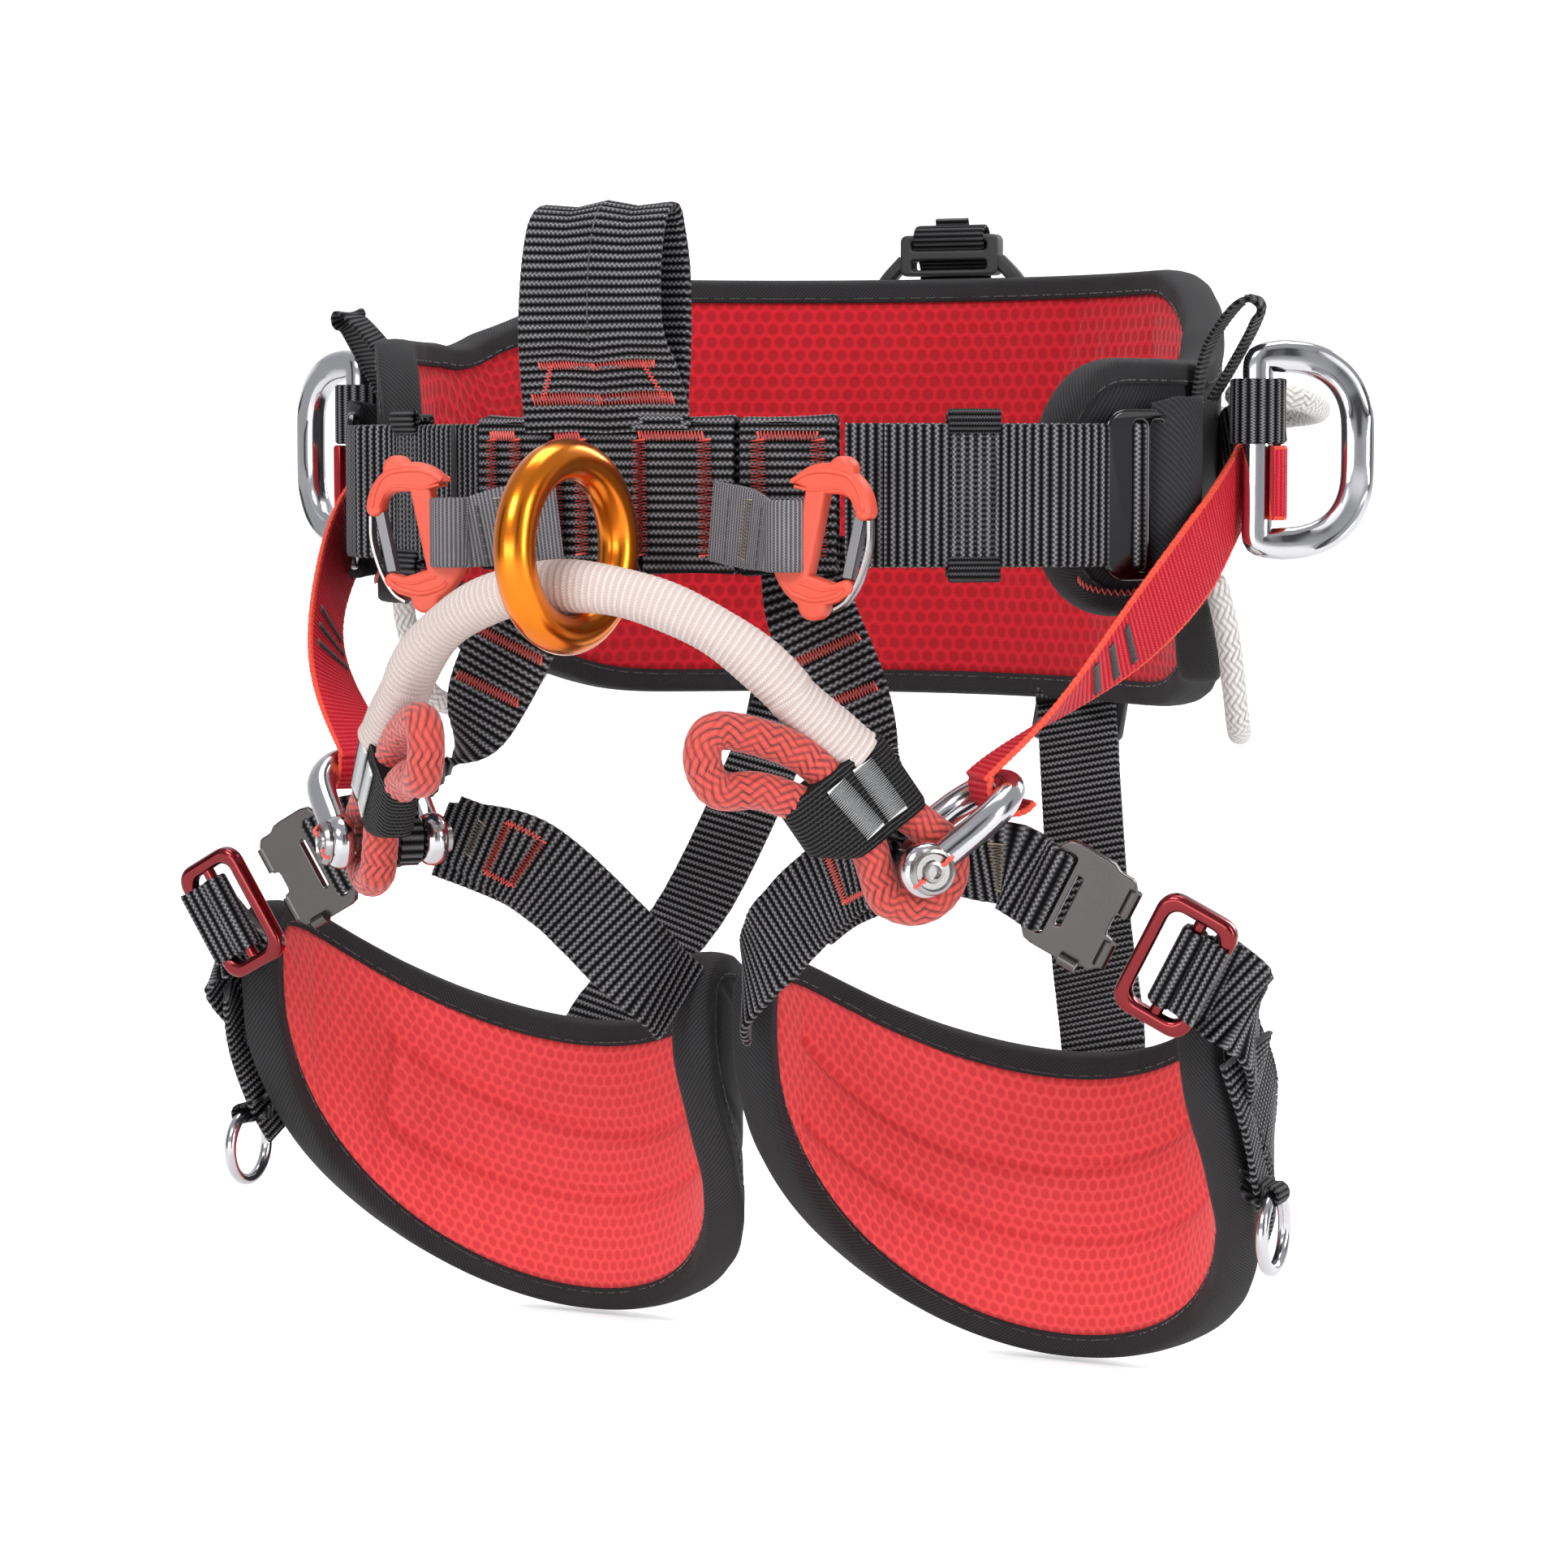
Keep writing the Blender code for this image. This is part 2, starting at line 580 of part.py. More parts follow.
def side_strap(side, label):
    """Red strap from the D ring's bar down to the shackle's bow."""
    bar, _ = d_frame(side)
    top = bar + Vector((0, 0, 3.5 * MM - bar.z))
    pin = mirrored(PIN_CENTRE, side)
    bow = pin + mirrored(BOW_DIRECTION, side) * (SHACKLE_LENGTH - SHACKLE_ROD)
    radius = D_ROD + 2.6 * MM + WEBBING_THICKNESS / 2
    down = (bow - top).normalized()
    flat_down = Vector((down.x, down.y, 0)).normalized()
    turn = flat_down.cross(Vector((0, 0, 1))) * side
    loop = [top + (-flat_down * math.cos(t) + turn * math.sin(t)) * radius
            for t in [math.radians(a) for a in range(-100, 81, 20)]]
    axis = mirrored(PIN_AXIS, side)
    away = (down - axis * down.dot(axis)).normalized()
    bulge = axis.cross(away) * side
    round_bow = SHACKLE_ROD + 2.4 * MM + WEBBING_THICKNESS / 2
    foot = [bow + (away * math.cos(t) + bulge * math.sin(t)) * round_bow
            for t in [math.radians(a) for a in range(-80, 101, 20)]]
    bow_out = Vector((11 * side, -5, 1)) * MM
    between = [loop[-1].lerp(foot[0], f) + bow_out * (4 * f * (1 - f)) for f in (0.25, 0.5, 0.75)]
    path = loop + between + foot
    upright = Vector((0, 0, 1))
    directions = [upright] * len(loop)
    directions += [upright.lerp(axis, f) for f in (0.2, 0.5, 0.8)]
    directions += [axis] * len(foot)
    widths = [18 * MM] * len(loop) + [27 * MM, 24 * MM, 18 * MM] + [11 * MM] * len(foot)
    ribbon(f"side_strap_{label}", path, directions, widths, "red_webbing")


# --------------------------------------------------- shackles and rope bridge

def shackle(side, label):
    """Bow shackle with ball-like lugs and a pin that unscrews along its axis."""
    pin = mirrored(PIN_CENTRE, side)
    axis = mirrored(PIN_AXIS, side)
    bow = mirrored(BOW_DIRECTION, side)
    half = SHACKLE_JAW / 2
    reach = SHACKLE_LENGTH - SHACKLE_ROD
    path = [pin + axis * half + bow * k * reach / 6 for k in (1.1, 2, 3)]
    arc = [pin + axis * half * math.cos(t) + bow * (reach * 0.55 + reach * 0.45 * math.sin(t))
           for t in [math.radians(a) for a in range(15, 166, 15)]]
    path += arc + [pin - axis * half + bow * k * reach / 6 for k in (3, 2, 1.1)]
    made = tube(f"shackle_bow_{label}", path, SHACKLE_ROD, "polished_steel", 8, False, axis.cross(bow))
    for name, place in (("front", half), ("rear", -half)):
        add_lug(made, name, pin + axis * place, axis)
    pin_path = [pin + axis * (half + 6.5 * MM), pin - axis * (half + 7 * MM)]
    tube(f"shackle_pin_{label}", pin_path, PIN_RADIUS, "satin_steel", 12, False, bow, pin)


def add_lug(holder, name, centre, axis):
    """Join a bored round lug to one end of a shackle's bow."""
    turn = axis.to_track_quat("Z", "Y").to_matrix().to_4x4()
    inner = PIN_RADIUS + 0.3 * MM
    half = LUG_THICKNESS / 2
    profile = [(inner, -half), (LUG_RADIUS - 2.5 * MM, -half), (LUG_RADIUS, -1.5 * MM),
               (LUG_RADIUS, 1.5 * MM), (LUG_RADIUS - 2.5 * MM, half), (inner, half)]
    mesh = bmesh.new()
    sides = 12
    loops = []
    for radius, height in profile:
        ring = []
        for i in range(sides):
            t = 2 * math.pi * i / sides
            ring.append(mesh.verts.new((radius * math.cos(t), radius * math.sin(t), height)))
        loops.append(ring)
    for first, second in zip(loops, loops[1:] + loops[:1]):
        for i in range(sides):
            j = (i + 1) % sides
            mesh.faces.new((first[i], first[j], second[j], second[i]))
    bmesh.ops.transform(mesh, verts=mesh.verts, matrix=Matrix.Translation(centre) @ turn)
    lug = finish_mesh(f"{holder.name}_{name}_lug", mesh, "polished_steel")
    lug.hide_render = True
    lug.display_type = "WIRE"
    union = holder.modifiers.new(name, "BOOLEAN")
    union.operation = "UNION"
    union.object = lug


def bridge_frame():
    """Origin between the pins, the arch's up direction and its height."""
    foot = Vector((0, PIN_CENTRE.y, PIN_CENTRE.z))
    up = BRIDGE_APEX - foot
    return foot, up.normalized(), up.length


def bridge_point(x, height, forward=0.0):
    """A point in the plane of the bridge's arch."""
    foot, up, _ = bridge_frame()
    front = up.cross(Vector((1, 0, 0)))
    return foot + Vector((x, 0, 0)) + up * height + front * forward


def arch_half():
    """The arch from its top to just above the cover, on the left."""
    rise = bridge_frame()[2]
    centre = rise - BRIDGE_ARC_RADIUS
    points = []
    for k in range(11):
        t = math.radians(BRIDGE_ARC_HALF * k / 10)
        points.append(bridge_point(BRIDGE_ARC_RADIUS * math.sin(t),
                                   centre + BRIDGE_ARC_RADIUS * math.cos(t)))
    return points


def eye_frame():
    """Pin end of the rope on the left: eye centre and the leg's direction up the arch."""
    eye = PIN_CENTRE + PIN_AXIS * 5.3 * MM
    last = arch_half()[-1]
    up = last - eye
    up = (up - PIN_AXIS * up.dot(PIN_AXIS)).normalized()
    return eye, up, PIN_AXIS.cross(up)


def rope_end():
    """Rope from the arch's end down round the pin, up through the cover and over the bight."""
    eye, up, across = eye_frame()
    inner = across if across.x < 0 else -across
    radius = PIN_RADIUS + 2.2 * MM + ROPE_RADIUS
    strand = ROPE_RADIUS + 0.4 * MM
    spread = radius * 0.97
    path = [eye + up * 38 * MM - inner * strand, eye + up * 20 * MM - inner * strand * 1.1]
    path += [eye + (-inner * math.cos(t) - up * math.sin(t)) * radius
             for t in [math.radians(a) for a in range(0, 181, 20)]]
    path += [eye + up * 20 * MM + inner * strand * 1.1, eye + up * 38 * MM + inner * strand]
    path += [eye + up * 54 * MM + inner * (strand + 5 * MM)]
    top = eye + up * 72 * MM + inner * 26 * MM
    path += [top, top + inner * 9 * MM - up * 3 * MM, top + inner * 11 * MM - up * 14 * MM]
    path += [eye + up * 48 * MM + inner * 25 * MM, eye + up * 39 * MM + inner * 19.5 * MM]
    return path


def bridge():
    """Rope, its protective sleeve, the sewn covers and the ring that rides on it."""
    arch = arch_half()
    half = arch[:-1] + rope_end()
    full = [mirrored(p, -1) for p in half[::-1]] + half[1:]
    rope = even_path(curve_through(full, 5), 92)
    hint = bridge_point(0, 0, 1) - bridge_point(0, 0, 0)
    pivot = Vector((0, PIN_CENTRE.y, PIN_CENTRE.z))
    tube("bridge_rope", rope, ROPE_RADIUS, "red_rope", 6, False, hint, pivot)
    cover = [mirrored(p, -1) for p in arch[-2:0:-1]] + arch[:-1]
    middle = even_path(cover, 15)
    outer = sweep(middle, round_section(SLEEVE_RADIUS, 8), hint)
    inner = sweep(middle, round_section(SLEEVE_RADIUS - 0.9 * MM, 8), hint)
    skin("bridge_sleeve", outer + inner[::-1], "white_sleeve", closed=True, pivot=pivot)
    ring_centre = BRIDGE_APEX + Vector((0, 0, 11.7 * MM))
    turn = math.radians(RING_TURN)
    face = Vector((math.cos(turn), math.sin(turn), 0))
    other = Vector((0, 0, 1)).cross(face)
    path = [ring_centre + (Vector((0, 0, 1)) * math.cos(t) + other * math.sin(t)) * RING_MEAN_RADIUS
            for t in [2 * math.pi * (k + 0.5) / 22 for k in range(22)]]
    tube("bridge_ring", path, RING_SECTION_RADIUS, "orange_anodised", 8, True, face,
         bridge_point(0, bridge_frame()[2] - BRIDGE_ARC_RADIUS))


def rope_cover(side, label):
    """Black sewn sleeve that holds the two strands above the pin."""
    eye, up, across = eye_frame()
    thick = PIN_AXIS
    hole = (2 * ROPE_RADIUS + 2.2 * MM, ROPE_RADIUS + 0.9 * MM)
    wall = 1.2 * MM
    rings = []
    for extra, levels in ((wall, (19, 37)), (0.0, (37, 19))):
        for level in levels:
            centre = eye + up * level * MM
            ring = []
            for u, v in ((1, 0.7), (0.8, 1), (-0.8, 1), (-1, 0.7),
                         (-1, -0.7), (-0.8, -1), (0.8, -1), (1, -0.7)):
                point = centre + across * (hole[0] + extra) * u + thick * (hole[1] + extra) * v
                ring.append(mirrored(point, side))
            rings.append(ring)
    skin(f"rope_cover_{label}", rings, "black_webbing", closed=True)


# ------------------------------------------------------------ accessory clips

def clip_axes(side):
    """Centre and outward direction of a clip, whose plane is nearly the front plane."""
    return mirrored(CLIP_CENTRE, side), Vector((side, -0.08, 0)).normalized()


def clip_spine(side):
    """Middle of the spine, on the line the clip swings about."""
    centre, out = clip_axes(side)
    return centre - out * (CLIP_HALF_WIDTH - 2.5 * MM)


def clip(side, label):
    """Plastic C-shaped clip: spine, two hooks and a bent wire gate."""
    centre, out = clip_axes(side)
    spine = clip_spine(side)
    tall = CLIP_HALF_HEIGHT
    wide = CLIP_HALF_WIDTH
    up = Vector((0, 0, 1))
    shape = [(wide * 0.95, 0.50), (wide * 1.0, 0.72), (wide * 0.55, 0.93), (0, 1.0), (-wide * 0.6, 0.86),
             (-wide * 0.85, 0.62), (-wide * 0.82, 0.0)]
    knots = [centre + out * u + up * tall * v for u, v in shape]
    knots += [centre + out * u - up * tall * v for u, v in shape[-2::-1]]
    path = even_path(curve_through(knots, 4), 24)
    thick = out.cross(up)
    section = [(CLIP_THICKNESS / 2 * u, 3 * MM * v) for u, v in
               ((1, 0.6), (0.6, 1), (-0.6, 1), (-1, 0.6), (-1, -0.6), (-0.6, -1), (0.6, -1), (1, -0.6))]
    skin(f"accessory_clip_{label}", sweep(path, section, thick), "salmon_plastic", pivot=spine)
    low = centre + out * (wide + 4.6 * MM) - up * tall * 0.70
    high = centre + out * (wide - 3.5 * MM) + up * tall * 0.33
    mid = centre + out * (wide + 4.2 * MM) - up * tall * 0.1
    gate = even_path(curve_through([low, mid, high], 5), 8)
    ribbon(f"clip_gate_{label}", gate, thick, 5 * MM, "satin_steel", 1.6 * MM, pivot=low)
    block = mirrored(Vector((29, -114, -8)) * MM, side)
    radius = 7.6 * MM
    along = (spine - block).normalized()
    along = Vector((along.x, along.y, 0)).normalized()
    turn = Vector((-along.y, along.x, 0)) * side
    level = Vector((spine.x, spine.y, spine.z + 1 * MM))
    loop = [level + (-along * math.cos(t) + turn * math.sin(t)) * radius
            for t in [math.radians(a) for a in range(60, 331, 30)]]
    tab = [block, block.lerp(level, 0.5) - turn * 0.8 * MM] + loop[::-1]
    widths = [TAB_WEBBING] * 2 + [TAB_WEBBING * 0.8] * len(loop)
    ribbon(f"clip_tab_{label}", tab, up, widths, "grey_webbing", 2 * MM)


# ------------------------------------------------------------------ leg loops

def leg_point(side, angle, outward=0.0, rise=0.0):
    """A point on the leg ring; angle in degrees from the back, positive outward."""
    turn = math.radians(angle)
    radius = LEG_RADIUS + outward
    height = LEG_CENTRE.z + LEG_RISE * (1 - math.cos(turn)) + rise
    return Vector((side * (LEG_CENTRE.x + radius * math.sin(turn)),
                   LEG_CENTRE.y + radius * math.cos(turn), height))


def leg_pad(side, label):
    """Foam, mesh lining and edge tape of one leg loop."""
    half_length = math.radians(LEG_HALF_ANGLE) * LEG_RADIUS

    def height(along):
        share = min(abs(along) / half_length, 1.0)
        return LEG_HALF_HEIGHT * (1 - share ** LEG_OUTLINE_POWER) ** (1 / LEG_OUTLINE_POWER)

    def place(along, outward, rise):
        return leg_point(side, LEG_MIDDLE_ANGLE + math.degrees(along / LEG_RADIUS), outward, rise)

    inset = BINDING_WIDTH + EDGE_GAP
    lining_outer = -CORE_THICKNESS - SOFT_GAP
    lining_inner = lining_outer - LINING_THICKNESS
    edge = inset_outline(height, half_length, inset, 80)
    curved_sheet(f"leg_pad_lining_{label}", edge, place, lining_inner, lining_outer, "leg_mesh", 18)
    curved_sheet(f"leg_pad_core_{label}", edge, place, -CORE_THICKNESS, 0.0, "black_foam", 18)
    tape = inset_outline(height, half_length, BINDING_WIDTH / 2, 80)
    edge_tape(f"leg_pad_binding_{label}", tape, place, lining_inner - MM, 0.5 * MM, 40)


def buckle_axes(side):
    """Direction of the buckle's strap, the slots' long direction and the face normal."""
    along = mirrored(FRAME_CENTRE - PLATE_CENTRE, side).normalized()
    tall = Vector((0.42 * side, -0.1, 0.88))
    tall = (tall - along * tall.dot(along)).normalized()
    return along, tall, along.cross(tall) * side


def leg_straps(side, label):
    """Webbing that joins the pin, the buckle, the pad's two ends and the belt's back."""
    along, tall, face = buckle_axes(side)
    pin = mirrored(PIN_CENTRE, side)
    axis = mirrored(PIN_AXIS, side)
    start = pin - axis * 8 * MM + Vector((10 * side, 13, -3)) * MM
    plate = mirrored(PLATE_CENTRE, side)
    plate_end = plate - along * 18 * MM
    before = plate_end - along * 9 * MM
    front = [start, start.lerp(before, 0.5), before, plate_end]
    widths = [12 * MM, 19 * MM, 28 * MM, LEG_WEBBING]
    ribbon(f"leg_front_strap_{label}", front, [tall] * 4, widths, "black_webbing", 4 * MM)
    level = Vector((0, 0, 1))
    inner_start = start + Vector((-12 * side, 4, 6)) * MM
    first_angle = LEG_MIDDLE_ANGLE - LEG_HALF_ANGLE
    tip = leg_point(side, first_angle - 3, -6 * MM)
    lead = leg_point(side, first_angle - 14, -6 * MM) + Vector((6 * side, 0, 4)) * MM
    middle = inner_start.lerp(lead, 0.5) + Vector((0, 0, 8)) * MM
    inner = even_path(curve_through([inner_start, middle, lead, tip], 4), 10)
    tilted = [Vector((0.55 * side, 0.0, 0.85)).lerp(level, k / 9) for k in range(10)]
    widths = [min(14 + 6 * k, 30) * MM for k in range(10)]
    ribbon(f"leg_inner_strap_{label}", inner, tilted, widths, "black_webbing")
    frame = mirrored(FRAME_CENTRE, side)
    clear = 4.4 * MM
    outer = [frame + along * 5 * MM - face * 7 * MM, leg_point(side, 103, 9 * MM, 6 * MM)]
    outer += [leg_point(side, a, clear, r * MM) for a, r in ((92, -2), (80, -8), (68, -14))]
    outer = even_path(curve_through(outer, 4), 12)
    ribbon(f"leg_outer_strap_{label}", outer, [tall] + [level] * 11, LEG_WEBBING, "black_webbing")
    belt = waist_point(side * 24, -4 * MM, -PAD_HALF_HEIGHT - 6 * MM)
    pad_top = leg_point(side, 3, 3.2 * MM, 30 * MM)
    rear = [belt, belt.lerp(pad_top, 0.5) + Vector((0, 4, -4)) * MM, pad_top + Vector((0, 8, 22)) * MM,
            pad_top, leg_point(side, 3, 3.2 * MM, -10 * MM)]
    rear = even_path(curve_through(rear, 4), 12)
    ribbon(f"rear_strap_{label}", rear, Vector((1, 0, 0)), LEG_WEBBING, "black_webbing")


def leg_buckle(side, label):
    """Steel plate with a strap slot, and the red frame that it hooks into."""
    along, tall, face = buckle_axes(side)
    plate = mirrored(PLATE_CENTRE, side) - face * 1 * MM
    slotted_frame(f"buckle_plate_{label}", plate, along, tall, PLATE_SIZE, 8 * MM, 0, "satin_steel")
    frame = mirrored(FRAME_CENTRE, side) + along * 2.5 * MM + face * 2 * MM
    slotted_frame(f"buckle_frame_{label}", frame, along, tall, FRAME_SIZE, 5 * MM, 0, "red_anodised")


def leg_ring(side, label):
    """Small steel ring for tools, hanging at the outer end of the pad."""
    top = leg_point(side, 90, 10 * MM, -40 * MM)
    centre = top - Vector((0, 0, 12 * MM))
    outward = Vector((side, 0, 0))
    sideways = Vector((0, 0, 1)).cross(outward)
    path = [centre + (Vector((0, 0, 1)) * math.cos(t) + sideways * math.sin(t)) * 12 * MM
            for t in [2 * math.pi * (k + 0.5) / 16 for k in range(16)]]
    tube(f"leg_ring_{label}", path, 2 * MM, "polished_steel", 6, True, outward, top)


# --------------------------------------------------------------- small loops

def gear_loops(side, label):
    """Cord loops for tools on the belt's flank, and the tape loop above the tab."""
    hang = 42 * MM
    knots = [waist_point(side * 88, 6 * MM, -34 * MM), waist_point(side * 86, 8 * MM, -50 * MM),
             waist_point(side * 80, 8 * MM, -34 * MM - hang), waist_point(side * 66, 8 * MM, -38 * MM - hang),
             waist_point(side * 58, 8 * MM, -56 * MM), waist_point(side * 56, 6 * MM, -38 * MM)]
    tube(f"gear_loop_front_{label}", even_path(curve_through(knots, 4), 14), 4 * MM, "gear_cord", 6, False,
         waist_point(side * 72, 1.0) - waist_point(side * 72))
    knots = [waist_point(side * 76, 8 * MM, 32 * MM), waist_point(side * 72, 22 * MM, 31 * MM),
             waist_point(side * 60, 30 * MM, 28 * MM), waist_point(side * 48, 24 * MM, 26 * MM),
             waist_point(side * 44, 8 * MM, 26 * MM)]
    tube(f"gear_loop_rear_{label}", even_path(curve_through(knots, 4), 12), 4 * MM, "gear_cord", 6, False)
    base = waist_point(side * 93, 1.9 * MM, 34 * MM)
    knots = [base, base + Vector((4 * side, -1, 14)) * MM, base + Vector((15 * side, -4, 27)) * MM,
             base + Vector((19 * side, 1, 24)) * MM, base + Vector((11 * side, 3, 8)) * MM,
             base + Vector((3.6 * side, 3, -2)) * MM]
    ribbon(f"hang_loop_{label}", even_path(curve_through(knots, 4), 16), Vector((-0.1 * side, 1, 0)), 13 * MM,
           "black_webbing", 1.4 * MM)


def centre_everything():
    """Shift the model so that the middle of its box is the origin."""
    bpy.context.view_layer.update()
    low = Vector((1e9, 1e9, 1e9))
    high = -low
    pieces = [o for o in bpy.data.objects if o.type == "MESH"]
    for piece in pieces:
        for vertex in piece.data.vertices:
            place = piece.matrix_world @ vertex.co
            low = Vector(map(min, low, place))
            high = Vector(map(max, high, place))
    shift = -(low + high) / 2
    for piece in pieces:
        piece.location = piece.location + shift
    print("shift_m", [round(v, 6) for v in shift], "size_m", [round(v, 4) for v in high - low])


def build():
    """Make the whole saddle."""
    for old in list(bpy.data.objects):
        bpy.data.objects.remove(old, do_unlink=True)
    waist_belt()
    ventral_block()
    bridge()
    for label, side in SIDES.items():
        front_strap(side, label)
        keeper(side, label)
        riser(side, label)
        side_d_ring(side, label)
        side_strap(side, label)
        shackle(side, label)
        rope_cover(side, label)
        clip(side, label)
        leg_pad(side, label)
        leg_straps(side, label)
        leg_buckle(side, label)
        leg_ring(side, label)
        gear_loops(side, label)
    centre_everything()


build()
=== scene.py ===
"""Looks for the tree climbing saddle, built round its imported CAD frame."""
import json
import math

import bpy
import numpy as np
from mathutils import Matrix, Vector


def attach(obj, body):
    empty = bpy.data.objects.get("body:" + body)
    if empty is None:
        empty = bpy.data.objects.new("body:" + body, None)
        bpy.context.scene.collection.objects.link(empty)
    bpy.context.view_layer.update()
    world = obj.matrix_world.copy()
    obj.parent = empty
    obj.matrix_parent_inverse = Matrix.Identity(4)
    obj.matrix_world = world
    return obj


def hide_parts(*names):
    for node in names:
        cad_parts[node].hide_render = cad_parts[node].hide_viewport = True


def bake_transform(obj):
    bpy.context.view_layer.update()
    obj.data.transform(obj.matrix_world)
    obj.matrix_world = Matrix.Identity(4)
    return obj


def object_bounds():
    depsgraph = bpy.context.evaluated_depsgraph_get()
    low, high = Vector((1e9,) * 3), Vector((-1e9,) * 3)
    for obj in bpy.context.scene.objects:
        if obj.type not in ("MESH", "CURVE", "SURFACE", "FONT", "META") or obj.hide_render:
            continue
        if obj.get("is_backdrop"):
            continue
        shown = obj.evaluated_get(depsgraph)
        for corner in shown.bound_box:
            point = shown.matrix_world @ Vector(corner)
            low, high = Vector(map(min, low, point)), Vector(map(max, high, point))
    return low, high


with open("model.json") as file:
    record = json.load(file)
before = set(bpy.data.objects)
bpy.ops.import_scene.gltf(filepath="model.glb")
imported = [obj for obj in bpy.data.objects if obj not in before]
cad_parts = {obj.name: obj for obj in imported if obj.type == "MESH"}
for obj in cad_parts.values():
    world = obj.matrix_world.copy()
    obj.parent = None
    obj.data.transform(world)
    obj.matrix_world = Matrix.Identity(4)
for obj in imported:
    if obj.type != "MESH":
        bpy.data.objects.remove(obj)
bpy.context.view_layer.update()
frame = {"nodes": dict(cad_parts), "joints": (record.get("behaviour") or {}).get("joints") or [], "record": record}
MM = 0.001
BRIDGE_FOOT = np.array((0.0, -112.0, -113.0)) * MM
SIDES = {"left": 1.0, "right": -1.0}
RIB_PITCH = 2.7 * MM


def joint_named(name):
    """The record's entry for one joint."""
    return next(j for j in frame["joints"] if j["name"] == name)


# The drawing frame has the waist webbing's middle at z = 0; SHIFT takes it to the row frame.
SHIFT = np.array(joint_named("bridge_swing")["pos_m"]) - BRIDGE_FOOT


def pt(x, y, z):
    """A point or vector given in millimetres."""
    return np.array((x, y, z), float) * MM


def vec(x, y, z):
    """A direction or a point in metres."""
    return np.array((x, y, z), float)


def unit(v):
    """The vector at length one."""
    return v / max(np.linalg.norm(v), 1e-12)


def flip(p, side):
    """The point on the wearer's left (1) or right (-1)."""
    return p * np.array((side, 1.0, 1.0))


# ------------------------------------------------------------------ node materials

class Nodes:
    """Short calls for building one node tree."""

    def __init__(self, tree):
        self.tree = tree

    def put(self, kind, **settings):
        node = self.tree.nodes.new(kind)
        for key, value in settings.items():
            setattr(node, key, value)
        return node

    def link(self, source, target):
        self.tree.links.new(source, target)

    def feed(self, socket, value):
        if isinstance(value, bpy.types.NodeSocket):
            self.link(value, socket)
        else:
            socket.default_value = value

    def math(self, operation, a, b=0.0, c=0.0):
        node = self.put("ShaderNodeMath", operation=operation)
        for socket, value in zip(node.inputs, (a, b, c)):
            self.feed(socket, value)
        return node.outputs[0]

    def wave(self, value, pitch, phase=0.0):
        """0 to 1 and back once each pitch."""
        turn = self.math("MULTIPLY_ADD", value, 2 * math.pi / pitch, phase)
        return self.math("MULTIPLY_ADD", self.math("COSINE", turn), 0.5, 0.5)

    def noise(self, scale, detail=3.0, vector=None, rough=0.55):
        node = self.put("ShaderNodeTexNoise")
        node.inputs["Scale"].default_value = scale
        node.inputs["Detail"].default_value = detail
        node.inputs["Roughness"].default_value = rough
        self.link(vector or self.place(), node.inputs["Vector"])
        return node.outputs["Fac"]

    def place(self):
        return self.put("ShaderNodeTexCoord").outputs["Object"]

    def surface_uv(self):
        """(across, along) in metres, from the mesh's own layout."""
        split = self.put("ShaderNodeSeparateXYZ")
        self.link(self.put("ShaderNodeUVMap", uv_map="cloth").outputs[0], split.inputs[0])
        return split.outputs[0], split.outputs[1]

    def ramp(self, value, stops):
        node = self.put("ShaderNodeValToRGB")
        self.feed(node.inputs[0], value)
        ramp = node.color_ramp
        while len(ramp.elements) < len(stops):
            ramp.elements.new(0.5)
        for element, (at, colour) in zip(ramp.elements, stops):
            element.position = at
            element.color = (*colour, 1.0)
        return node.outputs[0]

    def mix(self, share, a, b):
        node = self.put("ShaderNodeMix", data_type="RGBA")
        self.feed(node.inputs[0], share)
        for socket, value in ((node.inputs[6], a), (node.inputs[7], b)):
            self.feed(socket, (*value, 1.0) if isinstance(value, tuple) else value)
        return node.outputs[2]

    def bump(self, height, strength, distance):
        node = self.put("ShaderNodeBump")
        node.inputs["Strength"].default_value = strength
        node.inputs["Distance"].default_value = distance
        self.link(height, node.inputs["Height"])
        return node.outputs[0]


def new_look(name):
    """An empty Principled material with its node helper and shader."""
    made = bpy.data.materials.new(name)
    made.use_nodes = True
    return made, Nodes(made.node_tree), made.node_tree.nodes["Principled BSDF"]


def webbing(name, dark, light, pitch=RIB_PITCH, thread=1.6 * MM, rough=0.50, sheen=0.02, edge=None):
    """Ribbed polyester webbing: cross ribs made of fine lengthwise threads."""
    made, n, shader = new_look(name)
    across, along = n.surface_uv()
    rib = n.wave(along, pitch)
    row = n.math("FLOOR", n.math("DIVIDE", along, pitch))
    fine = n.wave(n.math("MULTIPLY_ADD", row, thread / 2, across), thread)
    height = n.math("MULTIPLY", rib, n.math("MULTIPLY_ADD", fine, 0.62, 0.38))
    patch = n.noise(90.0, 4.0)
    # Painted shade and highlights: tone takes the rib valleys to the dark colour and the ridges to the light
    # colour, stronger in random patches.
    tone = n.math("MULTIPLY", n.math("POWER", height, 2.0), n.math("MULTIPLY_ADD", patch, 1.0, 0.55))
    colour = n.mix(tone, dark, light)
    if edge:
        far = n.math("ABSOLUTE", across)
        border = n.math("GREATER_THAN", far, edge[1])
        colour = n.mix(n.math("MULTIPLY", border, 0.75), colour, edge[0])
    n.link(colour, shader.inputs["Base Color"])
    n.link(n.math("MULTIPLY_ADD", height, -0.22, rough + 0.18), shader.inputs["Roughness"])
    n.link(n.bump(height, 1.0, 0.40 * MM), shader.inputs["Normal"])
    shader.inputs["Sheen Weight"].default_value = sheen
    shader.inputs["Sheen Roughness"].default_value = 0.4
    n.link(n.math("MULTIPLY_ADD", height, 0.42, 0.06), shader.inputs["Specular IOR Level"])
    return made


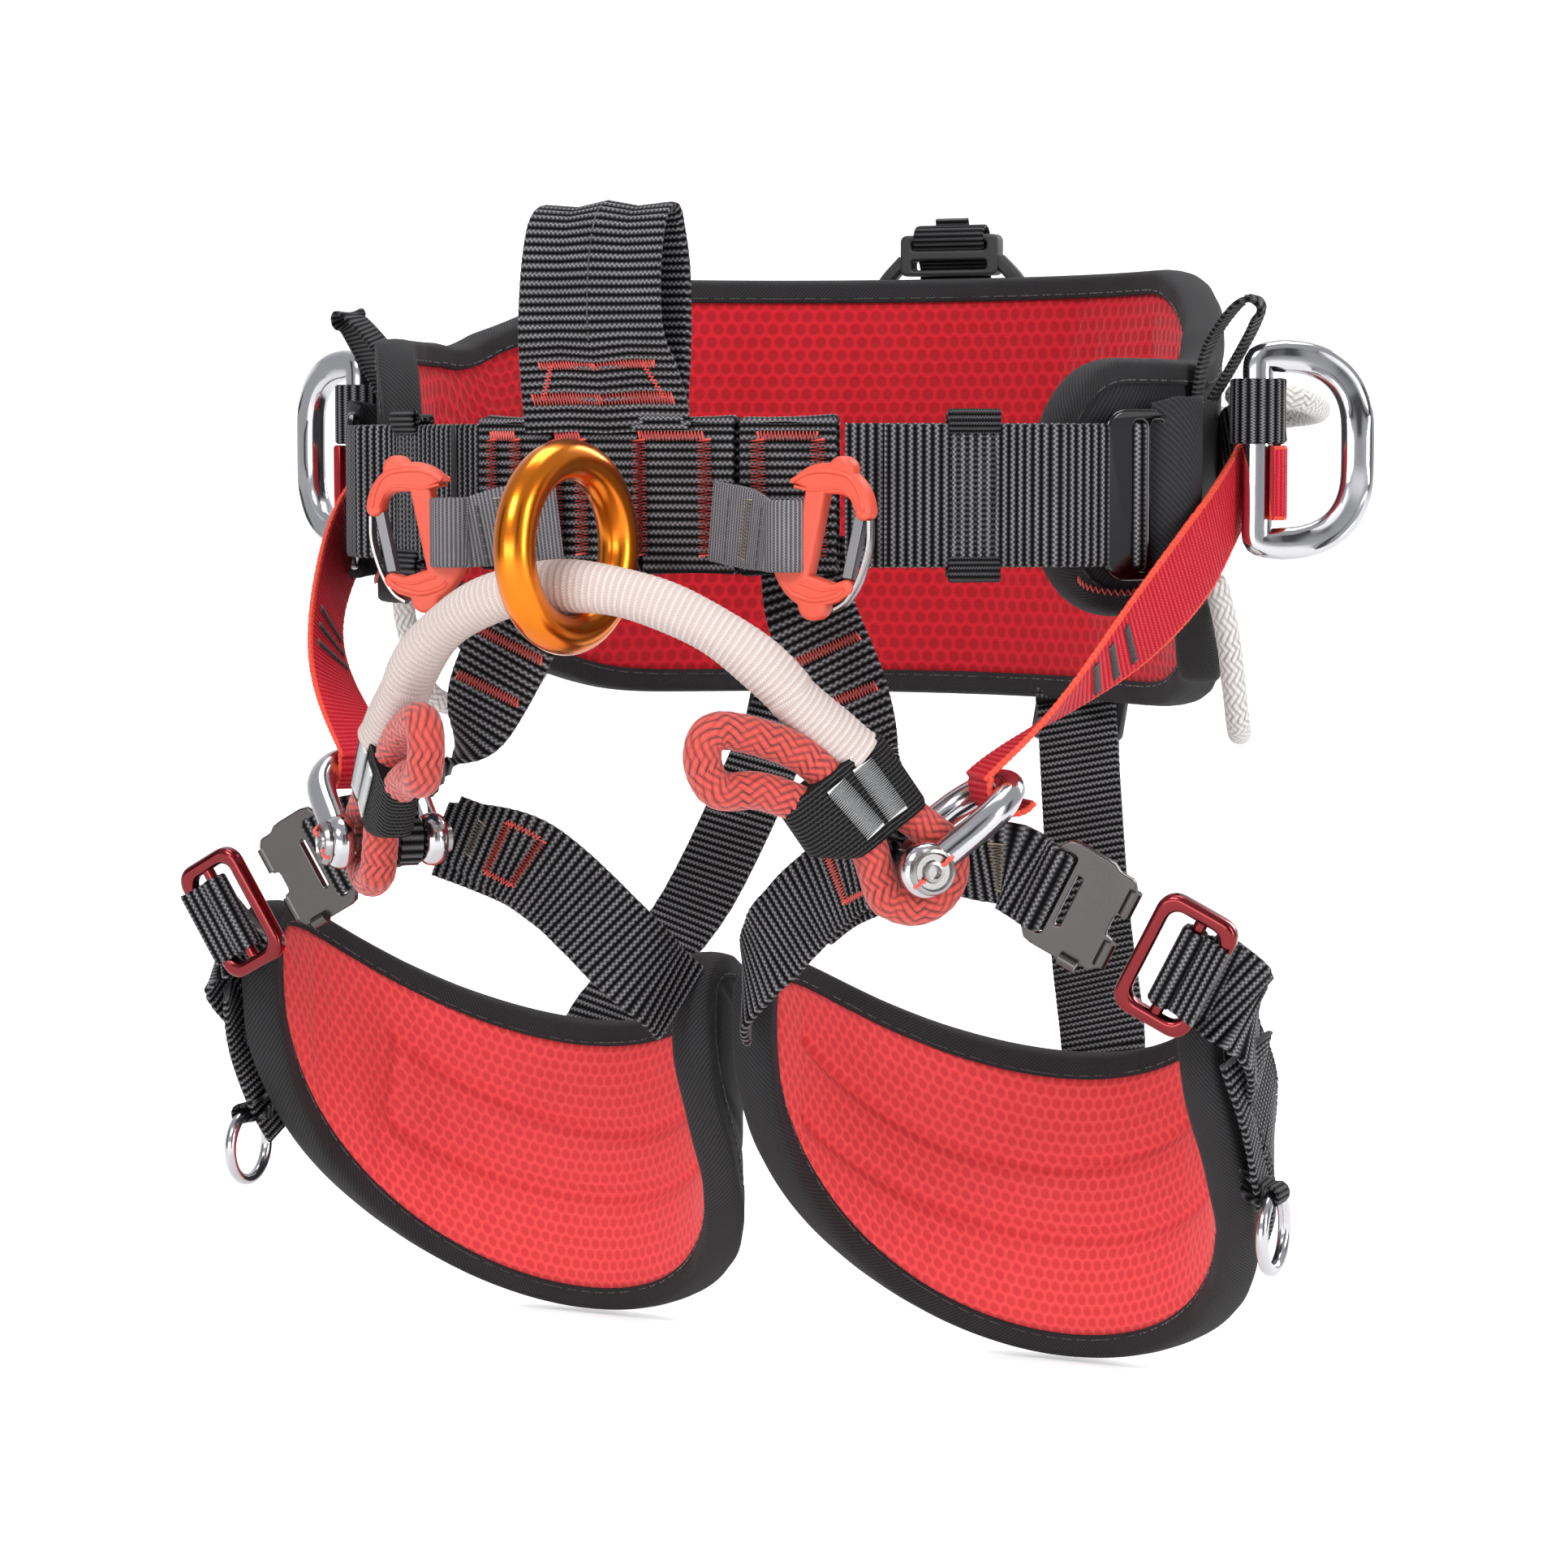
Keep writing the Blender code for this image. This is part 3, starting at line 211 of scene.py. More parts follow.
def twill(name, dark, light, pitch=1.5 * MM, rough=0.8):
    """Edge tape and plain cloth: fine diagonal twill."""
    made, n, shader = new_look(name)
    across, along = n.surface_uv()
    line = n.wave(n.math("ADD", across, along), pitch)
    cut = n.wave(n.math("SUBTRACT", across, along), pitch * 0.6)
    height = n.math("MULTIPLY_ADD", cut, 0.35, n.math("MULTIPLY", line, 0.65))
    patch = n.noise(60.0, 4.0)
    tone = n.math("MULTIPLY", height, n.math("MULTIPLY_ADD", patch, 0.8, 0.5))
    n.link(n.mix(tone, dark, light), shader.inputs["Base Color"])
    n.link(n.math("MULTIPLY_ADD", patch, 0.15, rough - 0.1), shader.inputs["Roughness"])
    n.link(n.bump(height, 0.7, 0.25 * MM), shader.inputs["Normal"])
    shader.inputs["Sheen Weight"].default_value = 0.03
    shader.inputs["Specular IOR Level"].default_value = 0.3
    return made


def hexagons(n, across, along, pitch):
    """Distance to the nearest point of a hexagonal lattice, in pitches."""
    x = n.math("DIVIDE", across, pitch)
    y = n.math("DIVIDE", along, pitch)
    tall = math.sqrt(3.0)
    near = []
    for shift in (0.0, 0.5):
        u = n.math("SUBTRACT", n.math("FRACT", n.math("ADD", x, shift)), 0.5)
        v = n.math("FRACT", n.math("ADD", n.math("DIVIDE", y, tall), shift))
        v = n.math("MULTIPLY", n.math("SUBTRACT", v, 0.5), tall)
        near.append(n.math("SQRT", n.math("ADD", n.math("POWER", n.math("ABSOLUTE", u), 2.0),
                                          n.math("POWER", n.math("ABSOLUTE", v), 2.0))))
    return n.math("MINIMUM", near[0], near[1])


def spacer_mesh(name, pitch, cell, web, glow, strength, knit=1.0 * MM):
    """Knitted spacer fabric: a lattice of dimpled cells under a fine knit."""
    made, n, shader = new_look(name)
    across, along = n.surface_uv()
    far = hexagons(n, across, along, pitch)
    rise = n.math("MULTIPLY_ADD", far, 5.0, -1.35)
    body = n.math("SMOOTH_MAX", n.math("SMOOTH_MIN", rise, 1.0, 0.35), 0.0, 0.35)
    loops = n.math("MULTIPLY", n.wave(n.math("ADD", across, n.math("MULTIPLY", along, 0.5)), knit),
                   n.wave(along, knit * 1.2))
    patch = n.noise(14.0, 3.0)
    fuzz = n.noise(900.0, 2.0)
    # Painted shade: the dimple centres take the dark cell colour and the web between them the light web colour.
    tone = n.math("MULTIPLY_ADD", loops, 0.18, n.math("MULTIPLY", body, 0.85))
    tone = n.math("MULTIPLY_ADD", fuzz, 0.22, n.math("SUBTRACT", tone, 0.11))
    colour = n.mix(tone, cell, web)
    colour = n.mix(n.math("MULTIPLY", patch, 0.30), colour, glow)
    n.link(colour, shader.inputs["Base Color"])
    shader.inputs["Roughness"].default_value = 0.72
    height = n.math("MULTIPLY_ADD", loops, 0.12, body)
    n.link(n.bump(height, strength, 0.7 * MM), shader.inputs["Normal"])
    shader.inputs["Sheen Weight"].default_value = 0.12
    shader.inputs["Sheen Roughness"].default_value = 0.5
    shader.inputs["Specular IOR Level"].default_value = 0.22
    return made


def braid(name, dark, light, rough=0.6):
    """Braided sheath: the strands are in the mesh, and their height shades them."""
    made, n, shader = new_look(name)
    weave = n.put("ShaderNodeAttribute", attribute_name="weave").outputs["Fac"]
    across, along = n.surface_uv()
    fibre = n.noise(2200.0, 2.0)
    # Painted shade: the grooves between strands, where weave is low, go to the dark colour.
    tone = n.math("MULTIPLY_ADD", fibre, 0.30, n.math("MULTIPLY_ADD", weave, 1.25, -0.36))
    n.link(n.mix(tone, dark, light), shader.inputs["Base Color"])
    shader.inputs["Roughness"].default_value = rough
    fine = n.wave(n.math("ADD", across, along), 0.45 * MM)
    n.link(n.bump(n.math("ADD", fine, fibre), 0.35, 0.12 * MM), shader.inputs["Normal"])
    shader.inputs["Sheen Weight"].default_value = 0.3
    return made


def metal(name, colour, rough, grain=0.06, coat=0.0, dirt=0.25, stretch=(1.0, 1.0, 1.0)):
    """Metal with fine scratches, uneven polish and colour that varies in broad patches."""
    made, n, shader = new_look(name)
    mapping = n.put("ShaderNodeMapping")
    n.link(n.place(), mapping.inputs[0])
    mapping.inputs["Scale"].default_value = stretch
    fine = n.noise(1400.0, 4.0, mapping.outputs[0])
    broad = n.noise(45.0, 3.0)
    worn = tuple(min(c * (1 + dirt), 1.0) for c in colour)
    dull = tuple(c * (1 - dirt) for c in colour)
    n.link(n.mix(broad, dull, worn), shader.inputs["Base Color"])
    shader.inputs["Metallic"].default_value = 1.0
    value = n.math("MULTIPLY_ADD", fine, grain * 2, rough - grain)
    value = n.math("MULTIPLY_ADD", broad, grain * 1.5, value)
    n.link(value, shader.inputs["Roughness"])
    n.link(n.bump(fine, 0.12, 0.05 * MM), shader.inputs["Normal"])
    shader.inputs["Coat Weight"].default_value = coat
    shader.inputs["Coat Roughness"].default_value = 0.12
    return made


def plastic(name, colour, light, rough=0.42, grain=0.15):
    """Moulded plastic with a fine spark texture and lighter broad patches."""
    made, n, shader = new_look(name)
    broad = n.noise(70.0, 4.0)
    spark = n.noise(2600.0, 2.0)
    n.link(n.mix(n.math("MULTIPLY_ADD", broad, 0.8, -0.1), colour, light), shader.inputs["Base Color"])
    n.link(n.math("MULTIPLY_ADD", spark, 0.16, rough - 0.05), shader.inputs["Roughness"])
    n.link(n.bump(spark, grain, 0.08 * MM), shader.inputs["Normal"])
    shader.inputs["Subsurface Weight"].default_value = 0.05
    shader.inputs["Subsurface Radius"].default_value = (0.002, 0.001, 0.0008)
    return made


def thread(name, dark, light):
    """Sewing thread with a visible twist."""
    made, n, shader = new_look(name)
    across, along = n.surface_uv()
    twist = n.wave(n.math("MULTIPLY_ADD", across, 0.6, along), 0.7 * MM)
    fuzz = n.noise(1500.0, 2.0)
    n.link(n.mix(n.math("MULTIPLY_ADD", fuzz, 0.5, n.math("MULTIPLY", twist, 0.5)), dark, light),
           shader.inputs["Base Color"])
    shader.inputs["Roughness"].default_value = 0.6
    shader.inputs["Sheen Weight"].default_value = 0.3
    n.link(n.bump(twist, 0.5, 0.1 * MM), shader.inputs["Normal"])
    return made


def make_looks():
    """Every material of the saddle."""
    return {
        # Webbing dark colours are painted shade for the rib valleys; light colours are painted highlights for the
        # ridges.
        "black_webbing": webbing("black_webbing", (0.001, 0.001, 0.001), (0.245, 0.240, 0.258)),
        "fine_webbing": webbing("fine_webbing", (0.002, 0.002, 0.002), (0.085, 0.083, 0.092),
                                1.7 * MM, 0.9 * MM),
        "cover_webbing": webbing("cover_webbing", (0.005, 0.005, 0.005), (0.045, 0.044, 0.045),
                                 1.4 * MM, 0.7 * MM),
        "red_webbing": webbing("red_webbing", (0.42, 0.006, 0.018), (0.83, 0.030, 0.050), 1.9 * MM, 1.0 * MM,
                               edge=((0.80, 0.090, 0.045), 10.5 * MM)),
        "grey_webbing": webbing("grey_webbing", (0.075, 0.073, 0.080), (0.42, 0.41, 0.44),
                                1.2 * MM, 0.9 * MM),
        "binding": twill("binding", (0.002, 0.002, 0.002), (0.030, 0.029, 0.032)),
        "shell_cloth": twill("shell_cloth", (0.003, 0.003, 0.004), (0.030, 0.030, 0.034), 2.2 * MM),
        # The cell colours are painted shade in the mesh dimples.
        "belt_mesh": spacer_mesh("belt_mesh", 5.6 * MM, (0.34, 0.003, 0.008), (0.62, 0.008, 0.020),
                                 (0.54, 0.007, 0.017), 0.55),
        "leg_mesh": spacer_mesh("leg_mesh", 4.6 * MM, (0.58, 0.028, 0.036), (0.84, 0.072, 0.074),
                                (0.86, 0.095, 0.092), 0.45),
        "plain_red": twill("plain_red", (0.24, 0.006, 0.010), (0.42, 0.014, 0.020), 2.0 * MM),
        # Rope and cord dark colours are painted shade for the grooves between strands.
        "red_rope": braid("red_rope", (0.040, 0.002, 0.002), (0.70, 0.060, 0.040)),
        "gear_cord": braid("gear_cord", (0.24, 0.22, 0.20), (0.80, 0.77, 0.74)),
        "white_sleeve": webbing("white_sleeve", (0.50, 0.41, 0.38), (0.86, 0.80, 0.77),
                                2.1 * MM, 0.9 * MM, 0.7),
        "red_thread": thread("red_thread", (0.66, 0.025, 0.022), (0.96, 0.105, 0.070)),
        "beige_thread": thread("beige_thread", (0.24, 0.18, 0.12), (0.52, 0.43, 0.32)),
        "grey_thread": thread("grey_thread", (0.66, 0.66, 0.67), (0.94, 0.94, 0.95)),
        "black_thread": thread("black_thread", (0.004, 0.004, 0.004), (0.05, 0.05, 0.05)),
        "orange_anodised": metal("orange_anodised", (0.80, 0.21, 0.012), 0.22, 0.02, 0.15, 0.035,
                                 (0.2, 1, 1)),
        "red_anodised": metal("red_anodised", (0.21, 0.008, 0.012), 0.20, 0.05, 0.6, 0.12),
        "polished_steel": metal("polished_steel", (0.60, 0.60, 0.62), 0.12, 0.04, 0.0, 0.08),
        "satin_steel": metal("satin_steel", (0.36, 0.35, 0.345), 0.24, 0.05, 0.0, 0.08, (1, 1, 0.15)),
        # Darker copy of satin_steel for the leg hook plates: painted shade standing in for their darker
        # reflections.
        "brushed_plate": metal("brushed_plate", (0.115, 0.106, 0.104), 0.24, 0.08, 0.0, 0.14, (1, 1, 0.15)),
        "black_steel": metal("black_steel", (0.014, 0.014, 0.015), 0.16, 0.02, 0.9, 0.08),
        "salmon_plastic": plastic("salmon_plastic", (0.62, 0.062, 0.028), (0.70, 0.100, 0.054)),
        "black_plastic": plastic("black_plastic", (0.010, 0.010, 0.011), (0.030, 0.030, 0.032), 0.5),
        "gate_face": metal("gate_face", (0.20, 0.20, 0.21), 0.42, 0.06, 0.2, 0.1),
    }


LOOKS = make_looks()
SLOTS = {
    "fine_webbing": "black_webbing", "cover_webbing": "black_webbing", "shell_cloth": "foam",
    "plain_red": "belt_mesh", "red_thread": "red_webbing", "beige_thread": "grey_webbing",
    "grey_thread": "grey_webbing", "black_thread": "black_webbing", "gate_face": "satin_steel",
    "brushed_plate": "satin_steel",
}


# ------------------------------------------------------------------ mesh helpers

class Mesh:
    """Collects grids of points into one piece."""

    def __init__(self):
        self.points = []
        self.faces = []
        self.uvs = []
        self.weave = []

    def grid(self, rings, us, vs, wrap=False, loop=False, caps=False, weave=None):
        """rings[i][j]; us across a ring, vs along the rings, in metres."""
        base = len(self.points)
        rows, cols = len(rings), len(rings[0])
        for i in range(rows):
            self.points.extend(rings[i])
            self.weave.extend(weave[i] if weave is not None else [0.5] * cols)
        width = us[-1] + (us[-1] - us[-2]) if wrap else us[-1]
        length = vs[-1] + (vs[-1] - vs[-2]) if loop else vs[-1]
        for i in range(rows if loop else rows - 1):
            k = (i + 1) % rows
            v0, v1 = vs[i], length if k == 0 else vs[k]
            for j in range(cols if wrap else cols - 1):
                m = (j + 1) % cols
                u0, u1 = us[j], width if m == 0 else us[m]
                self.faces.append((base + i * cols + j, base + i * cols + m,
                                   base + k * cols + m, base + k * cols + j))
                self.uvs.extend(((u0, v0), (u1, v0), (u1, v1), (u0, v1)))
        if caps and wrap and not loop:
            first = [base + j for j in range(cols)][::-1]
            last = [base + (rows - 1) * cols + j for j in range(cols)]
            for face in (first, last):
                self.faces.append(tuple(face))
                self.uvs.extend((us[k % cols], vs[0]) for k in range(cols))

    def piece(self, name, look, body, stands_for=(), sharp=35.0, slot=None):
        """The collected grids as one object riding on a body."""
        data = bpy.data.meshes.new(name)
        points = np.array(self.points) + SHIFT
        data.from_pydata(points.tolist(), [], self.faces)
        layer = data.uv_layers.new(name="cloth")
        layer.data.foreach_set("uv", np.array(self.uvs, dtype=np.float32).ravel())
        if any(w != 0.5 for w in self.weave):
            attribute = data.attributes.new("weave", "FLOAT", "POINT")
            attribute.data.foreach_set("value", np.array(self.weave, dtype=np.float32))
        data.shade_smooth()
        if sharp:
            data.set_sharp_from_angle(angle=math.radians(sharp))
        return adopt(name, data, look, body, stands_for, slot)


def adopt(name, data, look, body, stands_for=(), slot=None):
    """Links mesh data as a piece with its material and body; the slot argument is not used."""
    made = bpy.data.objects.new(name, data)
    bpy.context.scene.collection.objects.link(made)
    if look not in [m.name for m in data.materials if m]:
        data.materials.append(LOOKS[look])
    if stands_for:
        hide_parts(*stands_for)
    slot or SLOTS.get(look, look)
    if body:
        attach(made, body)
    return made


def catmull(knots, steps, closed=False):
    """Catmull-Rom through rows of numbers."""
    knots = np.asarray(knots, float)
    count = len(knots)
    rows = []
    for i in range(count if closed else count - 1):
        p1, p2 = knots[i], knots[(i + 1) % count]
        p0 = knots[i - 1] if closed or i else p1 * 2 - p2
        p3 = knots[(i + 2) % count] if closed or i + 2 < count else p2 * 2 - p1
        for t in np.arange(steps) / steps:
            rows.append(0.5 * (2 * p1 + (p2 - p0) * t + (2 * p0 - 5 * p1 + 4 * p2 - p3) * t * t
                               + (3 * p1 - p0 - 3 * p2 + p3) * t ** 3))
    if not closed:
        rows.append(knots[-1])
    return np.array(rows)


def resample(rows, step, closed=False):
    """Rows evenly spaced by the length of their first three numbers; also the spacing."""
    loop = np.vstack([rows, rows[:1]]) if closed else rows
    gaps = np.linalg.norm(np.diff(loop[:, :3], axis=0), axis=1)
    length = np.concatenate([[0.0], np.cumsum(gaps)])
    count = max(int(round(length[-1] / step)), 4)
    wanted = np.linspace(0.0, length[-1], count + 1)
    if closed:
        wanted = wanted[:-1]
    even = np.stack([np.interp(wanted, length, loop[:, k]) for k in range(loop.shape[1])], axis=1)
    return even, length[-1] / count


def tangents_of(points, closed=False):
    """Unit tangents of a path."""
    if closed:
        step = np.roll(points, -1, axis=0) - np.roll(points, 1, axis=0)
    else:
        step = np.gradient(points, axis=0)
    return step / np.maximum(np.linalg.norm(step, axis=1)[:, None], 1e-12)


def carried(points, hint, closed=False):
    """Unit side vectors carried along a path without twist, and the vectors square to them."""
    along = tangents_of(points, closed)
    side = hint - along[0] * np.dot(hint, along[0])
    sides = []
    for t in along:
        side = unit(side - t * np.dot(side, t))
        sides.append(side)
    sides = np.array(sides)
    return sides, np.cross(along, sides)


FLAT = [(-1.0, 0.0), (-0.985, 0.62), (-0.93, 1.0), (-0.62, 1.0), (-0.3, 1.0), (0.0, 1.0), (0.3, 1.0),
        (0.62, 1.0), (0.93, 1.0), (0.985, 0.62), (1.0, 0.0), (0.985, -0.62), (0.93, -1.0), (0.45, -1.0),
        (0.0, -1.0), (-0.45, -1.0), (-0.93, -1.0), (-0.985, -0.62)]


class Strap:
    """Flat webbing along a path, with places on its face for stitching."""

    def __init__(self, knots, across, width, thickness=2.4 * MM, pitch=RIB_PITCH, steps=6, closed=False,
                 rib=0.20 * MM, profile=None, smooth=True):
        knots = np.asarray(knots, float)
        count = len(knots)
        across = np.asarray(across, float)
        if across.ndim == 1:
            across = np.tile(across, (count, 1))
        width = np.broadcast_to(np.asarray(width, float), (count,)).reshape(-1, 1)
        rows = np.hstack([knots, across, width])
        if smooth:
            rows = catmull(rows, steps, closed)
        rows, self.step = resample(rows, pitch / 4, closed)
        self.points = rows[:, :3]
        self.closed = closed
        self.along = tangents_of(self.points, closed)
        wide = rows[:, 3:6]
        wide = wide - self.along * np.sum(wide * self.along, axis=1)[:, None]
        self.wide = wide / np.linalg.norm(wide, axis=1)[:, None]
        self.up = np.cross(self.along, self.wide)
        self.half = rows[:, 6] / 2
        self.thickness = thickness
        self.pitch = pitch
        self.rib = rib
        self.profile = profile
        self.length = self.step * (len(rows) - 1)

    def add(self, mesh):
        """The strap's surface as a grid."""
        us, hs = np.array(FLAT).T
        places = np.arange(len(self.points)) * self.step
        wave = np.cos(2 * math.pi * places / self.pitch)
        rings = []
        for i, centre in enumerate(self.points):
            lift = hs * self.thickness / 2 + np.sign(hs) * self.rib * wave[i] * (np.abs(us) < 0.95)
            if self.profile is not None:
                lift = lift + self.profile(us)
            reach = us * (self.half[i] + 0.10 * MM * wave[i])
            rings.append(centre + self.wide[i] * reach[:, None] + self.up[i] * lift[:, None])
        half = float(np.mean(self.half))
        mesh.grid(rings, (us * half).tolist(), places, wrap=True, loop=self.closed, caps=True)
        return mesh

    def at(self, place, across, lift=0.0, face=1.0):
        """A point on the face; place and across in metres, lift above the face."""
        k = min(max(place / self.step, 0.0), len(self.points) - 1.001)
        i = int(k)
        f = k - i
        centre = self.points[i] * (1 - f) + self.points[i + 1] * f
        wide = unit(self.wide[i] * (1 - f) + self.wide[i + 1] * f)
        up = unit(self.up[i] * (1 - f) + self.up[i + 1] * f)
        extra = self.thickness / 2 + lift
        if self.profile is not None:
            extra += float(self.profile(np.array([across / self.half[i]]))[0]) * face
        return centre + wide * across + up * extra * face

    def piece(self, name, look, body, stands_for=()):
        """The strap as one piece."""
        return self.add(Mesh()).piece(name, look, body, stands_for)


def circle_section(radius, count=20):
    """A round section as (u, v) rows."""
    turns = np.arange(count) * 2 * math.pi / count
    return [(radius * math.cos(t), radius * math.sin(t)) for t in turns]


def octagon(half_u, half_v):
    """A flat bar's section with cut corners."""
    corners = ((1, 0.5), (0.7, 1), (-0.7, 1), (-1, 0.5), (-1, -0.5), (-0.7, -1), (0.7, -1), (1, -0.5))
    return [(half_u * u, half_v * v) for u, v in corners]


def ring_rows(points, sides, ups, section):
    """Sections (list of (u, v) or a function of row) along a path."""
    rings = []
    for i, centre in enumerate(points):
        shape = section(i) if callable(section) else section
        rings.append([centre + sides[i] * u + ups[i] * v for u, v in shape])
    return rings


def rod(mesh, points, hint, section, closed=False, step=None, caps=True, steps=6, smooth=True):
    """A swept section along a smoothed path; section is a radius or a list of (u, v)."""
    rows = catmull(points, steps, closed) if smooth else np.asarray(points, float)
    if step:
        rows, gap = resample(rows, step, closed)
    else:
        gap = float(np.mean(np.linalg.norm(np.diff(rows, axis=0), axis=1)))
    sides, ups = carried(rows, hint, closed)
    if isinstance(section, float):
        section = circle_section(section)
    shape = section(0) if callable(section) else section
    lengths = [0.0]
    for a, b in zip(shape, shape[1:]):
        lengths.append(lengths[-1] + math.hypot(b[0] - a[0], b[1] - a[1]))
    mesh.grid(ring_rows(rows, sides, ups, section), lengths, np.arange(len(rows)) * gap,
              wrap=True, loop=closed, caps=caps)
    return rows


def stitches(mesh, line, radius=0.34 * MM):
    """One run of thread through a list of points."""
    line = np.asarray(line, float)
    if len(line) < 2:
        return
    along = tangents_of(line)
    hint = vec(0.31, 0.52, 0.79)
    turns = np.arange(5) * 2 * math.pi / 5
    rings = []
    for p, t in zip(line, along):
        a = unit(np.cross(t, hint))
        b = np.cross(t, a)
        rings.append([p + (a * math.cos(k) + b * math.sin(k)) * radius for k in turns])
    gaps = np.concatenate([[0.0], np.cumsum(np.linalg.norm(np.diff(line, axis=0), axis=1))])
    mesh.grid(rings, [k * radius for k in range(5)], gaps, wrap=True, caps=True)


def zigzag(mesh, place, start, end, half, pitch=0.9 * MM, radius=0.42 * MM):
    """Close zigzag from start to end, each (along, across); place gives surface points."""
    start, end = np.array(start, float), np.array(end, float)
    run = end - start
    length = np.linalg.norm(run)
    square = np.array((-run[1], run[0])) / length
    count = max(int(length / pitch * 2), 2)
    line = []
    for k in range(count + 1):
        spot = start + run * k / count + square * half * (1 if k % 2 else -1)
        line.append(place(spot[0], spot[1]))
    stitches(mesh, line, radius)


def running(mesh, place, start, end, length=2.6 * MM, gap=0.7 * MM, radius=0.26 * MM):
    """A row of plain stitches from start to end, each (along, across)."""
    start, end = np.array(start, float), np.array(end, float)
    run = end - start
    total = np.linalg.norm(run)
    count = max(int(total / (length + gap)), 1)
    for k in range(count):
        a = start + run * (k * (length + gap)) / total
        b = start + run * (k * (length + gap) + length) / total
        middle = (a + b) / 2
        stitches(mesh, [place(*a), place(*middle), place(*b)], radius)


# ------------------------------------------------------------------ the waist ring

RING_A, RING_B, RING_F, RING_Y = 147 * MM, 146 * MM, 108 * MM, 2 * MM
PAD_HALF_ANGLE = 127.0
PAD_HALF_HEIGHT = 77 * MM
TAB_HALF_HEIGHT = 39 * MM
BINDING = 9 * MM


def waist(angle, outward=0.0, z=0.0):
    """A point on the waist ring; degrees from the back, positive to the left."""
    t = math.radians(angle)
    depth = RING_B if math.cos(t) > 0 else RING_F
    normal = unit(vec(math.sin(t) / RING_A, math.cos(t) / depth, 0))
    return vec(RING_A * math.sin(t), RING_Y + depth * math.cos(t), z) + normal * outward


def front_angle(x):
    """The front angle at which the waist ring reaches x."""
    return 180 - math.degrees(math.asin(x / RING_A))


def eased(start, end, value):
    """0 up to start, 1 from end on, with a smooth rise between."""
    step = min(max((value - start) / (end - start), 0.0), 1.0)
    return step * step * (3 - 2 * step)


def hang_height(angle):
    """How far the waist pad hangs below the ring at an angle, before its ends round off."""
    away = abs(angle)
    height = PAD_HALF_HEIGHT + (TAB_HALF_HEIGHT - PAD_HALF_HEIGHT) * eased(74, 90, away)
    return height - 13 * MM * math.exp(-((away - 72) / 14) ** 2)


def stand_height(angle):
    """How far it stands above the ring: more at the tabs, and most on the -X side, as worn unevenly."""
    tab, end = (54 * MM, 82) if angle < 0 else (44 * MM, 90)
    return PAD_HALF_HEIGHT + (tab - PAD_HALF_HEIGHT) * eased(46, end, abs(angle))


def pad_height(angle):
    """Half the waist pad's height at an angle; its ends are round."""
    height = hang_height(angle)
    into = (abs(angle) - (PAD_HALF_ANGLE - 16)) / 16
    if into > 0:
        height *= math.sqrt(max(1 - min(into, 1.0) ** 2.4, 0.0))
    return height


def outline(height, half_length, inset, count=240):
    """Upper edge of an outline, end to end, moved in by the inset: rows of (along, up)."""
    shares = np.sin(math.pi * (np.arange(count + 1) / count - 0.5))
    along = half_length * shares
    up = np.array([height(a) for a in along])
    run = np.empty_like(along)
    rise = np.empty_like(along)
    run[1:-1], rise[1:-1] = along[2:] - along[:-2], up[2:] - up[:-2]
    run[0], rise[0], run[-1], rise[-1] = 0.0, 1.0, 0.0, -1.0
    size = np.hypot(run, rise)
    return np.stack([along + rise / size * inset, np.maximum(up - run / size * inset, 0.0)], axis=1)


def belt_spot(along, outward, z):
    """A point of the waist pad; along is the ring's angle as a length."""
    angle = math.degrees(along / RING_A)
    if z > 0:
        z *= stand_height(angle) / hang_height(angle)
    return waist(angle, outward, z)


def belt_outline(inset):
    """Outline of the waist pad."""
    half_length = math.radians(PAD_HALF_ANGLE) * RING_A
    return outline(lambda a: pad_height(math.degrees(a / RING_A)), half_length, inset)


